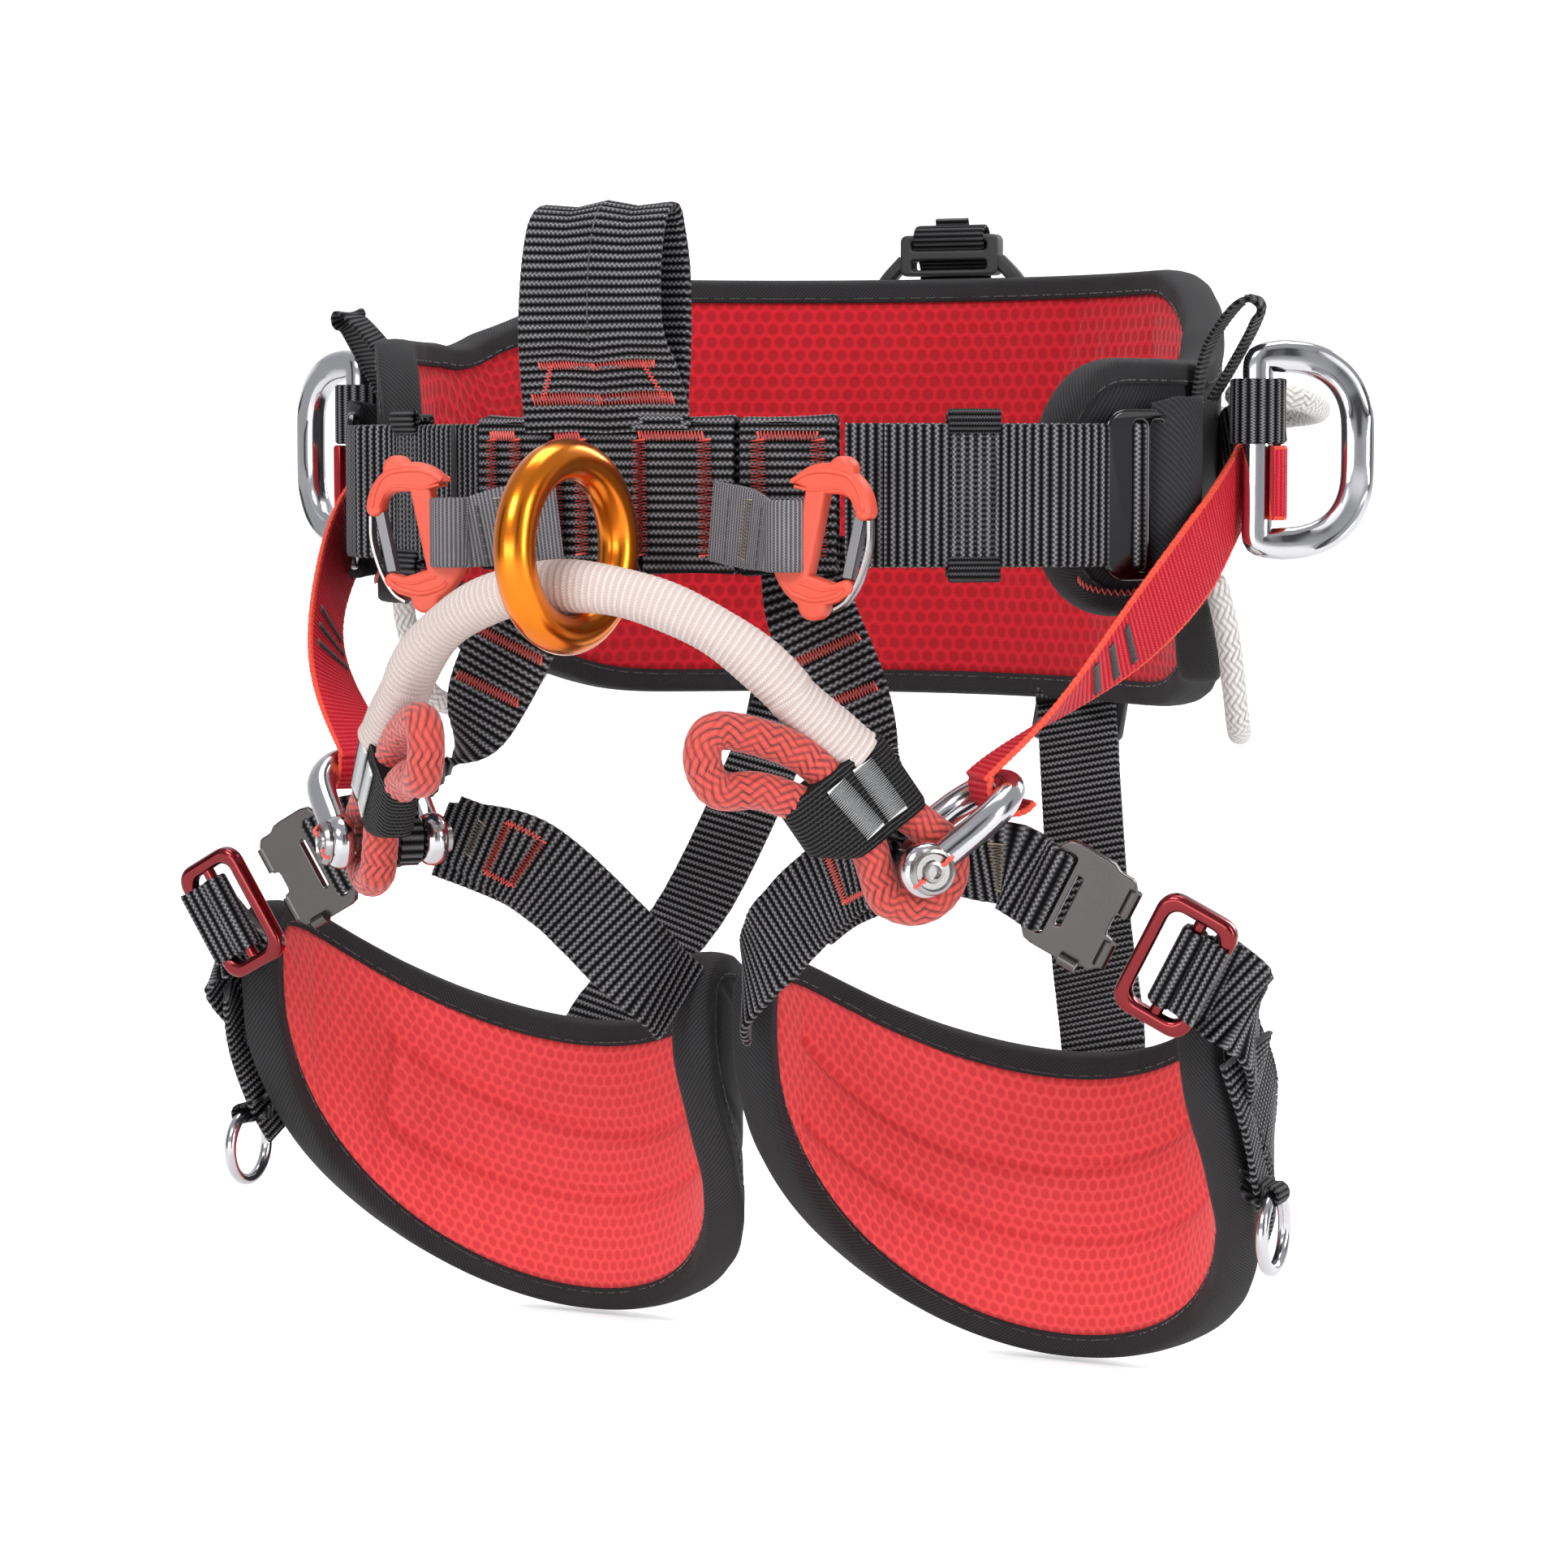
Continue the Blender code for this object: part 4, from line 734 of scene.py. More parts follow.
def cushion(name, look, body, edge, spot, base, crown, stands_for, sign, channels=None, cell=3.2 * MM,
            limit=4.0 * MM, pressure=4.0, wrinkle=None):
    """Padded cloth held at its edge and along its sewn channels, puffed by cloth pressure.

    base is the offset of the cloth's edge, sign the side it puffs to; channels gives 1 on a sewn line.
    """
    left, right = edge[0, 0], edge[-1, 0]
    length = right - left
    cols = int(length / cell)
    tall = float(np.max(edge[:, 1]))
    rows = max(int(2 * tall / cell), 8)
    alongs = left + length * (0.5 - 0.5 * np.cos(np.linspace(0.02, math.pi - 0.02, cols + 1)))
    alongs = alongs * 0.35 + np.linspace(left + length * 0.0006, right - length * 0.0006, cols + 1) * 0.65
    heights = np.interp(alongs, edge[:, 0], edge[:, 1])
    shares = np.linspace(-1, 1, rows + 1)
    shares = np.sign(shares) * np.abs(shares) ** 0.9
    rings, held, uvs = [], [], []
    for a, h in zip(alongs, heights):
        ring = []
        for s in shares:
            z = s * h
            rim = min((1 - abs(s)) * h, a - left, right - a)
            fill = min(max(rim / (7 * MM), 0.0), 1.0)
            puff = crown * math.sin(fill * math.pi / 2)
            sewn = channels(a, z) if channels else 0.0
            extra = wrinkle(a, z) if wrinkle else 0.0
            offset = base + sign * (puff * (1 - 0.9 * sewn) + extra * fill)
            ring.append(spot(a, offset, z))
            held.append(1.0 if rim < 2.0 * MM or sewn > 0.6 else 0.0)
            uvs.append((a, z))
        rings.append(ring)
    mesh = Mesh()
    mesh.points = [p for ring in rings for p in ring]
    cols_n = rows + 1
    for i in range(len(rings) - 1):
        for j in range(rows):
            quad = (i * cols_n + j, i * cols_n + j + 1, (i + 1) * cols_n + j + 1, (i + 1) * cols_n + j)
            mesh.faces.append(quad)
            mesh.uvs.extend(uvs[k] for k in quad)
    mesh.weave = [0.5] * len(mesh.points)
    corner = [np.array(mesh.points[k]) for k in mesh.faces[len(mesh.faces) // 2]]
    facing = np.cross(corner[1] - corner[0], corner[3] - corner[0])
    middle = alongs[len(rings) // 2]
    if np.dot(facing, spot(middle, base + sign * MM, 0.0) - spot(middle, base, 0.0)) < 0:
        mesh.faces = [f[::-1] for f in mesh.faces]
        mesh.uvs = [uv for k in range(0, len(mesh.uvs), 4) for uv in mesh.uvs[k:k + 4][::-1]]
    made = mesh.piece(name, look, body, stands_for, sharp=0)
    puff_up(made, held, pressure, limit)
    smooth = made.modifiers.new("smooth", "SUBSURF")
    smooth.levels = smooth.render_levels = 1
    return made


def puff_up(made, held, pressure, limit):
    """Cloth with pressure, pinned where held, applied to the mesh with its movement capped."""
    group = made.vertex_groups.new(name="held")
    group.add([i for i, h in enumerate(held) if h > 0.5], 1.0, "REPLACE")
    cloth = made.modifiers.new("cloth", "CLOTH")
    settings = cloth.settings
    settings.vertex_group_mass = "held"
    settings.use_pressure = True
    settings.uniform_pressure_force = pressure
    settings.quality = 5
    settings.mass = 0.3
    settings.tension_stiffness = 25
    settings.compression_stiffness = 25
    settings.shear_stiffness = 12
    settings.bending_stiffness = 1.5
    settings.effector_weights.gravity = 0.0
    cloth.collision_settings.use_collision = False
    start = np.array([v.co[:] for v in made.data.vertices])
    for step in range(1, 21):
        bpy.context.scene.frame_set(step)
    shaped = made.evaluated_get(bpy.context.evaluated_depsgraph_get()).data
    moved = np.array([v.co[:] for v in shaped.vertices]) - start
    size = np.linalg.norm(moved, axis=1)
    moved *= (np.minimum(size, limit) / np.maximum(size, 1e-9))[:, None]
    made.modifiers.remove(cloth)
    made.vertex_groups.remove(group)
    made.data.vertices.foreach_set("co", (start + moved).astype(np.float32).ravel())
    made.data.update()
    bpy.context.scene.frame_set(1)
    print(f"{made.name} puffed up to {size.max() * 1000:.1f} mm")


def edging(name, body, edge, spot, inner, outer, stands_for, stitch_in=1.6 * MM):
    """Woven edge tape folded over the pad's rim, with its two rows of stitches."""
    flat = np.vstack([edge, (edge * (1, -1))[::-1][1:-1]])
    flat = np.hstack([flat, np.zeros((len(flat), 1))])
    flat, gap = resample(flat, 2.2 * MM, closed=True)
    middle = (inner + outer) / 2
    loop = np.array([spot(p[0], middle, p[1]) for p in flat])
    other = np.array([spot(p[0], middle + MM, p[1]) for p in flat])
    along = tangents_of(loop, True)
    facing = other - loop
    facing = facing - along * np.sum(facing * along, axis=1)[:, None]
    facing = facing / np.linalg.norm(facing, axis=1)[:, None]
    across = np.cross(along, facing)
    half, thick = BINDING / 2 - 0.2 * MM, (outer - inner) / 2 + 0.2 * MM
    levels = (-0.9, -0.6, -0.2, 0.25, 0.6)
    section = [(1.0, v) for v in levels] + [(0.82, 0.85), (0.45, 0.98), (0, 1.03)]
    section += [(-0.45, 0.98), (-0.82, 0.85)] + [(-1.0, v) for v in levels[::-1]]
    section += [(-0.75, -1.0), (0, -1.0), (0.75, -1.0)]
    places = np.arange(len(loop)) * gap
    turn = 1.0
    centre = np.mean(loop, axis=0)
    if np.mean([np.dot(across[i], loop[i] - centre) for i in range(0, len(loop), 7)]) < 0:
        turn = -1.0
    rings = []
    for i, p in enumerate(loop):
        pucker = 1 + 0.030 * math.sin(places[i] / (4.1 * MM)) + 0.025 * math.sin(places[i] / (9.7 * MM) + 1.3)
        rings.append([p + facing[i] * thick * u * (pucker if abs(v) < 0.7 else 1)
                      + across[i] * half * v * turn for u, v in section])
    us = [0.0]
    for a, b in zip(section, section[1:]):
        us.append(us[-1] + math.hypot((b[0] - a[0]) * thick, (b[1] - a[1]) * half))
    mesh = Mesh()
    mesh.grid(rings, us, places, wrap=True, loop=True)
    made = mesh.piece(name, "binding", body, stands_for, sharp=0)
    sewn = Mesh()
    for side in (1, -1):
        def place(s, v, side=side):
            k = int(s / gap) % len(loop)
            return loop[k] + facing[k] * side * (thick + 0.10 * MM) + across[k] * turn * v
        total = gap * len(loop)
        row = -(half - stitch_in)
        for k in range(int(total / (3.4 * MM))):
            s = k * 3.4 * MM
            stitches(sewn, [place(s, row), place(s + 2.5 * MM, row)], 0.22 * MM)
    sewn.piece(name + "_stitches", "black_thread", body, sharp=0)
    return made


def belt():
    """The waist pad: puffed red lining, black shell and edge tape."""
    inner_edge = belt_outline(BINDING - 3.0 * MM)

    def creases(a, z):
        deg = math.degrees(a / RING_A)
        lift = 0.9 * MM * math.sin(deg / 8.5) * math.cos(z / (40 * MM))
        fold = math.exp(-((deg - 16 - z * 160) / 3.0) ** 2) * 2.2 * MM
        return lift * 0.6 - fold

    cushion("belt_lining", "belt_mesh", "saddle", inner_edge, belt_spot, -9.8 * MM, 2.2 * MM,
            ("waist_pad_lining",), -1.0, wrinkle=creases, limit=3.0 * MM, pressure=3.0, cell=3.6 * MM)

    def quilting(a, z):
        deg = abs(math.degrees(a / RING_A))
        line = min(abs(abs(z) - 34 * MM), abs(deg - 60) * RING_A / 57.3)
        return math.exp(-(line / (1.6 * MM)) ** 2) if deg < 74 else 0.0

    cushion("belt_shell", "shell_cloth", "saddle", inner_edge, belt_spot, -0.9 * MM, 1.2 * MM,
            ("waist_pad_core",), 1.0, channels=quilting, limit=0.8 * MM, pressure=1.5, cell=3.6 * MM)
    edging("belt_edging", "saddle", belt_outline(BINDING / 2), belt_spot, -12.5 * MM, 0.5 * MM,
           ("waist_pad_binding",))


belt()


# ------------------------------------------------------------------ front of the belt

def nearest(strap, point):
    """Arc place of the strap's point nearest to a point."""
    return int(np.argmin(np.linalg.norm(strap.points - point, axis=1))) * strap.step


def ring_axes(angle):
    """Point, outward normal and leftward tangent of the waist ring."""
    p = waist(angle)
    normal = unit(waist(angle, 1.0) - p)
    return p, normal, unit(np.cross(vec(0, 0, 1), normal))


def folded(p, normal, deep, tall):
    """Closed path of a webbing fold standing on the ring: two flats joined by half rounds."""
    knots = []
    for sign in (1, -1):
        for t in np.linspace(0, math.pi, 5):
            knots.append(p + normal * deep * math.cos(t) * sign
                         + vec(0, 0, 1) * sign * (tall - deep + deep * math.sin(t)))
    return knots


def block():
    """Four webbing folds side by side, sewn with red bars."""
    folds = Mesh()
    sewn = Mesh()
    bars = ((-55.5, -45.0), (-30.0, -20.5), (0.0, 22.0), (38.0, 57.0))
    for k, (first, second) in enumerate(bars):
        middle = -47.2 + 31.5 * k
        p, normal, tangent = ring_axes(front_angle(middle * MM) if middle > 0 else
                                       360 - front_angle(-middle * MM))
        if tangent[0] < 0:
            tangent = -tangent
        tall, deep = 23.6 * MM, 3.2 * MM
        knots = folded(p, normal, deep, tall)
        lean = vec(0, 0, 0.02 * (k - 1.5))
        front = Strap(knots, tangent + lean, 30.6 * MM, closed=True, rib=0.26 * MM,
                      profile=lambda u: 0.5 * MM * np.cos(np.abs(u) * math.pi / 2))
        front.add(folds)

        def place(z, x, p=p, normal=normal, tangent=tangent, middle=middle, deep=deep):
            away = x - middle * MM
            bulge = 0.5 * MM * math.cos(min(abs(away) / (15.3 * MM), 1.0) * math.pi / 2)
            return p + normal * (deep + 2.35 * MM + bulge) + tangent * away + vec(0, 0, z)

        for x in (first, second):
            zigzag(sewn, place, (17.5 * MM, x * MM), (-19 * MM, (x + 0.8) * MM), 2.3 * MM, 1.0 * MM,
                   0.44 * MM)
        zigzag(sewn, place, (18.6 * MM, first * MM), (18.6 * MM, second * MM), 1.3 * MM, 1.1 * MM, 0.44 * MM)
    folds.piece("front_block_webbing", "black_webbing", "saddle", ("ventral_block",))
    sewn.piece("front_block_bars", "red_thread", "saddle", sharp=0)


def chest():
    """The tall loop for chest straps, with its seamed crown and sewn foot."""
    base = pt(-11, -109, 29)
    knots = [(-1.5, -9), (-4.5, 1.5), (-9, 12), (-13, 20), (-14, 30), (-12.5, 45), (-8, 57), (0, 61.5),
             (7, 57), (10.5, 44), (9.5, 28), (6, 14), (2.5, 1.5), (1.6, -9)]
    path = [base + pt(0, y, z) for y, z in knots]
    across = [vec(1, 0.03, 0)] * 7 + [vec(1, 0.0, 0)] + [vec(1, -0.10, 0)] * 6
    width = np.array([58, 57, 54, 50.5, 49, 48, 47.5, 47, 47, 48, 50, 53, 55, 57]) * MM

    def lobes(u):
        fold = np.abs(u)
        return 2.0 * MM * np.sqrt(np.clip(1 - (2 * fold - 1) ** 2, 0, 1)) - 0.5 * MM

    strap = Strap(path, across, width, 2.6 * MM, rib=0.28 * MM, profile=lobes)
    made = strap.piece("chest_webbing_loop", "black_webbing", None, ("chest_loop",))
    sewn = Mesh()
    top, low = nearest(strap, base + pt(0, -9, 12)), nearest(strap, base + pt(0, -4.5, 1.5))
    sign = 1.0 if strap.up[int(top / strap.step)][1] < 0 else -1.0

    def place(s, x):
        return strap.at(s, x, 0.50 * MM, sign)

    reach = 20 * MM
    flipped = 1.0 if strap.wide[int(top / strap.step)][0] > 0 else -1.0
    across_top, across_low = reach * flipped, reach * 1.22 * flipped
    zigzag(sewn, place, (top, -across_top), (top, across_top), 1.2 * MM, 0.95 * MM, 0.42 * MM)
    zigzag(sewn, place, (low, -across_low), (low, across_low), 1.9 * MM, 1.0 * MM, 0.44 * MM)
    for s in (-1, 1):
        zigzag(sewn, place, (top, s * reach * 0.80), (low, s * reach * 1.05), 0.7 * MM, 1.2 * MM)
    rows = sewn.piece("chest_loop_stitches", "red_thread", None, sharp=0)
    seam = Mesh()
    start = nearest(strap, base + pt(0, -13, 20))
    end = nearest(strap, base + pt(0, 0, 61))
    running(seam, lambda s, x: strap.at(s, x, 0.1 * MM, sign), (min(start, end), 0.0), (max(start, end), 0.0))
    seam.piece("chest_loop_seam", "black_thread", "chest_webbing", sharp=0)
    for piece in (made, rows):
        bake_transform(piece)


def round_rect(hx, hy, r, n=7):
    """Rounded rectangle outline as 2-D points in metres."""
    rim = []
    for sx, sy, start in ((1, 1, 0), (-1, 1, 90), (-1, -1, 180), (1, -1, 270)):
        for k in range(n):
            t = math.radians(start + 90 * k / (n - 1))
            rim.append(((hx - r) * sx + r * math.cos(t), (hy - r) * sy + r * math.sin(t)))
    return rim


def plate(name, look, body, outlines, thickness, bevel, centre, x_axis, y_axis, stands_for=(), bend=0.0):
    """A bevelled flat piece with holes; bend curves it about its y axis by a sagitta."""
    curve = bpy.data.curves.new(name + "_outline", "CURVE")
    curve.dimensions = "2D"
    curve.fill_mode = "BOTH"
    curve.extrude = (thickness / 2 - bevel) * 1000
    curve.bevel_depth = bevel * 1000
    curve.bevel_resolution = 3
    curve.offset = -bevel * 1000
    for outline_points in outlines:
        spline = curve.splines.new("POLY")
        spline.points.add(len(outline_points) - 1)
        for p, (x, y) in zip(spline.points, outline_points):
            p.co = (x * 1000, y * 1000, 0, 1)
        spline.use_cyclic_u = True
    holder = bpy.data.objects.new(name + "_outline", curve)
    bpy.context.scene.collection.objects.link(holder)
    depsgraph = bpy.context.evaluated_depsgraph_get()
    data = bpy.data.meshes.new_from_object(holder.evaluated_get(depsgraph))
    bpy.data.objects.remove(holder, do_unlink=True)
    x_axis = unit(x_axis)
    z_axis = unit(np.cross(x_axis, y_axis))
    y_axis = np.cross(z_axis, x_axis)
    flat = np.array([v.co[:] for v in data.vertices]) * MM
    half = max(abs(flat[:, 0]).max(), 1e-6)
    sag = bend * (flat[:, 0] / half) ** 2
    points = centre + flat[:, :1] * x_axis + flat[:, 1:2] * y_axis
    points = points + (flat[:, 2] - sag)[:, None] * z_axis + SHIFT
    data.vertices.foreach_set("co", points.astype(np.float32).ravel())
    data.name = name
    data.materials.clear()
    data.update()
    data.shade_smooth()
    data.set_sharp_from_angle(angle=math.radians(40))
    return adopt(name, data, look, body, stands_for)


def waist_straps(side, label):
    """Front webbing, its keeper and the slide buckle on the pad's tab."""
    start, buckle_at, lift = front_angle(64 * MM), 113, 6.2 * MM
    knots = []
    angle = start
    while angle > buckle_at - 9:
        away = abs(angle - buckle_at) / 4.2
        rise = 3.2 * MM * math.cos(math.pi * min(away, 1.0))
        base = min(max(PAD_HALF_ANGLE + 5 - angle, 0.0) / 4.5, 1.0)
        knots.append(waist(side * angle, base * (lift + rise)))
        angle -= 3 if angle > buckle_at + 6 else 0.75
    under = Strap(knots, vec(0, 0, 1), 45 * MM, steps=3, rib=0.16 * MM)
    mesh = under.add(Mesh())
    upper = [waist(side * a, 2.5 * MM + min(max(PAD_HALF_ANGLE + 5 - a, 0.0) / 4.5, 1.0) * 8.2 * MM)
             for a in np.arange(start - 5, buckle_at + 4.5, -2.0)]
    over = Strap(upper, vec(0, 0, 1), 44.5 * MM, 2.2 * MM, steps=3, rib=0.16 * MM)
    over.add(mesh)
    mesh.piece(f"waist_webbing_{label}", "black_webbing", "saddle", (f"waist_strap_{label}",))
    centre, normal, tangent = ring_axes(side * buckle_at)
    rim = round_rect(13.5 * MM, 27 * MM, 8 * MM)
    holes = [[(x - 0.4 * MM, y) for x, y in round_rect(2.7 * MM, 23.3 * MM, 2 * MM)],
             [(x + 7.6 * MM, y) for x, y in round_rect(3.0 * MM, 23.3 * MM, 2 * MM)]]
    plate(f"waist_slide_{label}", "black_steel", "saddle", [rim] + holes, 2.8 * MM, 0.9 * MM,
          centre + normal * (lift + 2.2 * MM), tangent * side, vec(0, 0, 1),
          (f"waist_buckle_{label}",), 1.2 * MM)
    flap_at = [waist(side * a, 4.0 * MM + 7.5 * MM * math.sin((110 - a) / 13 * math.pi) ** 0.6, 0)
               for a in np.linspace(109.5, 97.5, 9)]
    flap = Strap(flap_at, vec(0, 0, 1), np.array([58, 60, 62, 62, 62, 62, 62, 61, 60]) * MM, 1.5 * MM,
                 pitch=0.9 * MM, rib=0.04 * MM)
    flap.piece(f"buckle_flap_{label}", "shell_cloth", "saddle")
    sewn = Mesh()

    def tab(angle_at, z):
        return waist(side * angle_at, 1.5 * MM, z)

    degrees_per_metre = 400
    for a, low, high in ((120.5, -22, 20), (95.2, -30, 30), (93.4, -30, 30)):
        def upright(z, across, a=a):
            return tab(a + across * degrees_per_metre, z)

        zigzag(sewn, upright, (low * MM, 0), (high * MM, 0), 1.2 * MM, 1.3 * MM)
    arc = [(113 + 8.4 * math.cos(t), (-26 - 5 * math.sin(t)) * MM) for t in np.linspace(0, math.pi, 40)]
    line = [tab(a, z + (0.9 * MM if k % 2 else -0.9 * MM)) for k, (a, z) in enumerate(arc)]
    stitches(sewn, line)
    sewn.piece(f"tab_stitches_{label}", "red_thread", "saddle", sharp=0)
    keeper_band(side, label)


def keeper_band(side, label):
    """Elastic keeper with its folded tabs, riding on the sliding body."""
    p, normal, tangent = ring_axes(side * 137.5)
    mesh = Mesh()
    knots = folded(p, normal, 2.75 * MM, 24.2 * MM)
    Strap(knots, tangent, 15.5 * MM, 1.3 * MM, pitch=1.7 * MM, closed=True, rib=0.06 * MM).add(mesh)
    for sign in (1, -1):
        z = sign * 23.5 * MM
        fold = [p + normal * (3.3 + d) * MM + vec(0, 0, z + sign * h * MM)
                for d, h in ((0.3, -4), (1.2, -2), (1.9, 0.5), (1.6, 2.6), (0.4, 2.9), (-0.6, 1.4))]
        Strap(fold, tangent, 16.5 * MM, 1.1 * MM, pitch=1.7 * MM, rib=0.06 * MM).add(mesh)
    mesh.piece(f"keeper_band_{label}", "fine_webbing", f"keeper_{label}", (f"strap_keeper_{label}",))


def arc(x, y, radius, start, end, steps=8):
    """Points of an arc about (x, y); degrees, running either way."""
    turns = np.radians(np.linspace(start, end, steps + 1))
    return [(x + radius * math.cos(t), y + radius * math.sin(t)) for t in turns]


def where_circles_meet(first, second):
    """For circles (x, y, radius): half the angle that the second takes from the first."""
    apart = math.hypot(second[0] - first[0], second[1] - first[1])
    part = (apart ** 2 + first[2] ** 2 - second[2] ** 2) / (2 * apart * first[2])
    return math.degrees(math.acos(part))


# The clip's round parts as (x, y, radius) in mm, before CLIP_SCALE.
CLIP_CROWN = (-0.8, 7.7, 16.6)
CLIP_TOP_KNOB = (4.8, 21.9, 4.6)
CLIP_LOW_KNOB = (-5.9, -22.2, 5.2)
CLIP_BACK = (-2.0, -5.5, 19.0)
HOOK_END = (12.9, 8.4, 2.9)
HOOK_INSIDE = (4.2, 8.2, 5.8)
LOW_HOOK_TIP = (6.6, -16.2, 2.5)
CLIP_SCALE = 0.93
CLIP_SHIFT = (6.0, 0.8)


def clip_outline():
    """The hook clip in mm: a crown with a knob and a hook, a leaning spine and a lower hook."""
    toward = math.degrees(math.atan2(CLIP_TOP_KNOB[1] - CLIP_CROWN[1], CLIP_TOP_KNOB[0] - CLIP_CROWN[0]))
    taken = where_circles_meet(CLIP_CROWN, CLIP_TOP_KNOB)
    given = 180 - where_circles_meet(CLIP_TOP_KNOB, CLIP_CROWN)
    points = arc(*CLIP_CROWN, 143, toward + taken)
    points += arc(*CLIP_TOP_KNOB, toward + given, toward - given)[1:-1]
    points += arc(*CLIP_CROWN, toward - taken, 4) + arc(*HOOK_END, 0, -180)
    points += arc(*HOOK_INSIDE, 5, 90) + [(-0.9, 14.2), (-6.9, -12.5), (2.0, -15.2)]
    points += arc(*LOW_HOOK_TIP, 110, -50) + [(3.9, -21.0)] + arc(*CLIP_LOW_KNOB, 0, -180)
    points += arc(*CLIP_BACK, 239, 187) + [(-16.7, -9.7), (-13.7, -9.4), (-8.1, 15.7), (-11.3, 17.1)]
    return [((x + CLIP_SHIFT[0]) * CLIP_SCALE * MM, (y + CLIP_SHIFT[1]) * CLIP_SCALE * MM) for x, y in points]


def clips(side, label):
    """Moulded hook clip with raised rims, its wire gate and the grey tab that holds it."""
    centre = flip(pt(74, -127, -13), side)
    out = unit(vec(side, -0.08, 0))
    spine = centre - out * 11.5 * MM
    up = vec(0, 0, 1)
    middle = spine + out * 5.0 * MM

    def on_clip(x, y):
        return middle + (out * (x + CLIP_SHIFT[0]) + up * (y + CLIP_SHIFT[1])) * CLIP_SCALE * MM

    plate(f"hook_clip_{label}", "salmon_plastic", f"clip_{label}", [clip_outline()], 6.4 * MM, 1.2 * MM,
          middle, out, up, (f"accessory_clip_{label}",))
    rims = Mesh()
    facing = unit(np.cross(out, up))
    lines = ([(-13.0, 18.2), (-7.0, 21.1), (0.0, 21.6), (7.5, 20.2), (11.5, 15.8), (13.4, 9.0)],
             [(-14.6, -16.8), (-12.0, -18.8), (-5.0, -20.6), (2.6, -19.2), (6.6, -16.8)],
             [(-12.0, 16.6), (-6.6, 15.4), (-3.4, 15.4), (4.0, 16.0), (8.6, 13.6), (11.0, 8.8)],
             [(-10.6, -14.9), (-8.0, -15.6), (-2.0, -17.2), (4.6, -16.4)])
    for level in (1, -1):
        for line, size in zip(lines, (0.85, 0.85, 0.5, 0.5)):
            rod(rims, [on_clip(x, y) + facing * level * 3.0 * MM for x, y in line], facing, size * MM)
    rims.piece(f"hook_clip_rims_{label}", "salmon_plastic", f"clip_{label}")
    gate_outline = [(9.6, 7.2), (13.0, 6.2), (8.4, -13.6), (4.9, -13.2)]
    gate_shape = [((x + CLIP_SHIFT[0]) * CLIP_SCALE * MM, (y + CLIP_SHIFT[1]) * CLIP_SCALE * MM)
                  for x, y in gate_outline]
    plate(f"gate_plate_{label}", "gate_face", f"gate_{label}", [gate_shape], 3.6 * MM, 0.3 * MM,
          middle, out, up, (f"clip_gate_{label}",))
    wire = Mesh()
    bow = [(14.6, 5.6), (14.4, -2.0), (12.6, -9.0), (9.8, -15.6), (6.0, -21.0), (1.8, -23.6)]
    rod(wire, [on_clip(x, y) for x, y in bow], facing, octagon(1.9 * MM, 0.75 * MM))
    wire.piece(f"gate_wire_{label}", "satin_steel", f"gate_{label}")
    start = flip(pt(27, -113.4, -8), side)
    along = unit((spine - start) * vec(1, 1, 0))
    turn = vec(-along[1], along[0], 0) * side
    level = spine - out * 4.2 * MM + vec(0, 0, 1 * MM)
    near = [start, start * 0.5 + level * 0.5 - turn * 1.2 * MM]
    loop = [level + (-along * math.cos(t) + turn * math.sin(t)) * 6.6 * MM
            for t in np.radians(np.arange(330, 59, -22.5))]
    tab = Strap(near + loop, up, np.array([25.0, 25.0] + [22.0] * len(loop)) * MM, 2.0 * MM, pitch=1.2 * MM,
                rib=0.07 * MM)
    tab.piece(f"grey_tab_{label}", "grey_webbing", "saddle", (f"clip_tab_{label}",))
    sewn, dark = Mesh(), Mesh()
    sign = 1.0 if tab.up[4][1] < 0 else -1.0
    place = lambda s, x: tab.at(s, x, 0.25 * MM, sign)
    zigzag(sewn, place, (16.5 * MM, -9.5 * MM), (17.8 * MM, 9.5 * MM), 1.9 * MM, 1.1 * MM, 0.3 * MM)
    running(dark, place, (25 * MM, -11 * MM), (25 * MM, 11 * MM))
    running(dark, place, (8 * MM, -11 * MM), (8 * MM, 11 * MM))
    sewn.piece(f"grey_tab_bar_{label}", "beige_thread", "saddle", sharp=0)
    dark.piece(f"grey_tab_stitches_{label}", "black_thread", "saddle", sharp=0)


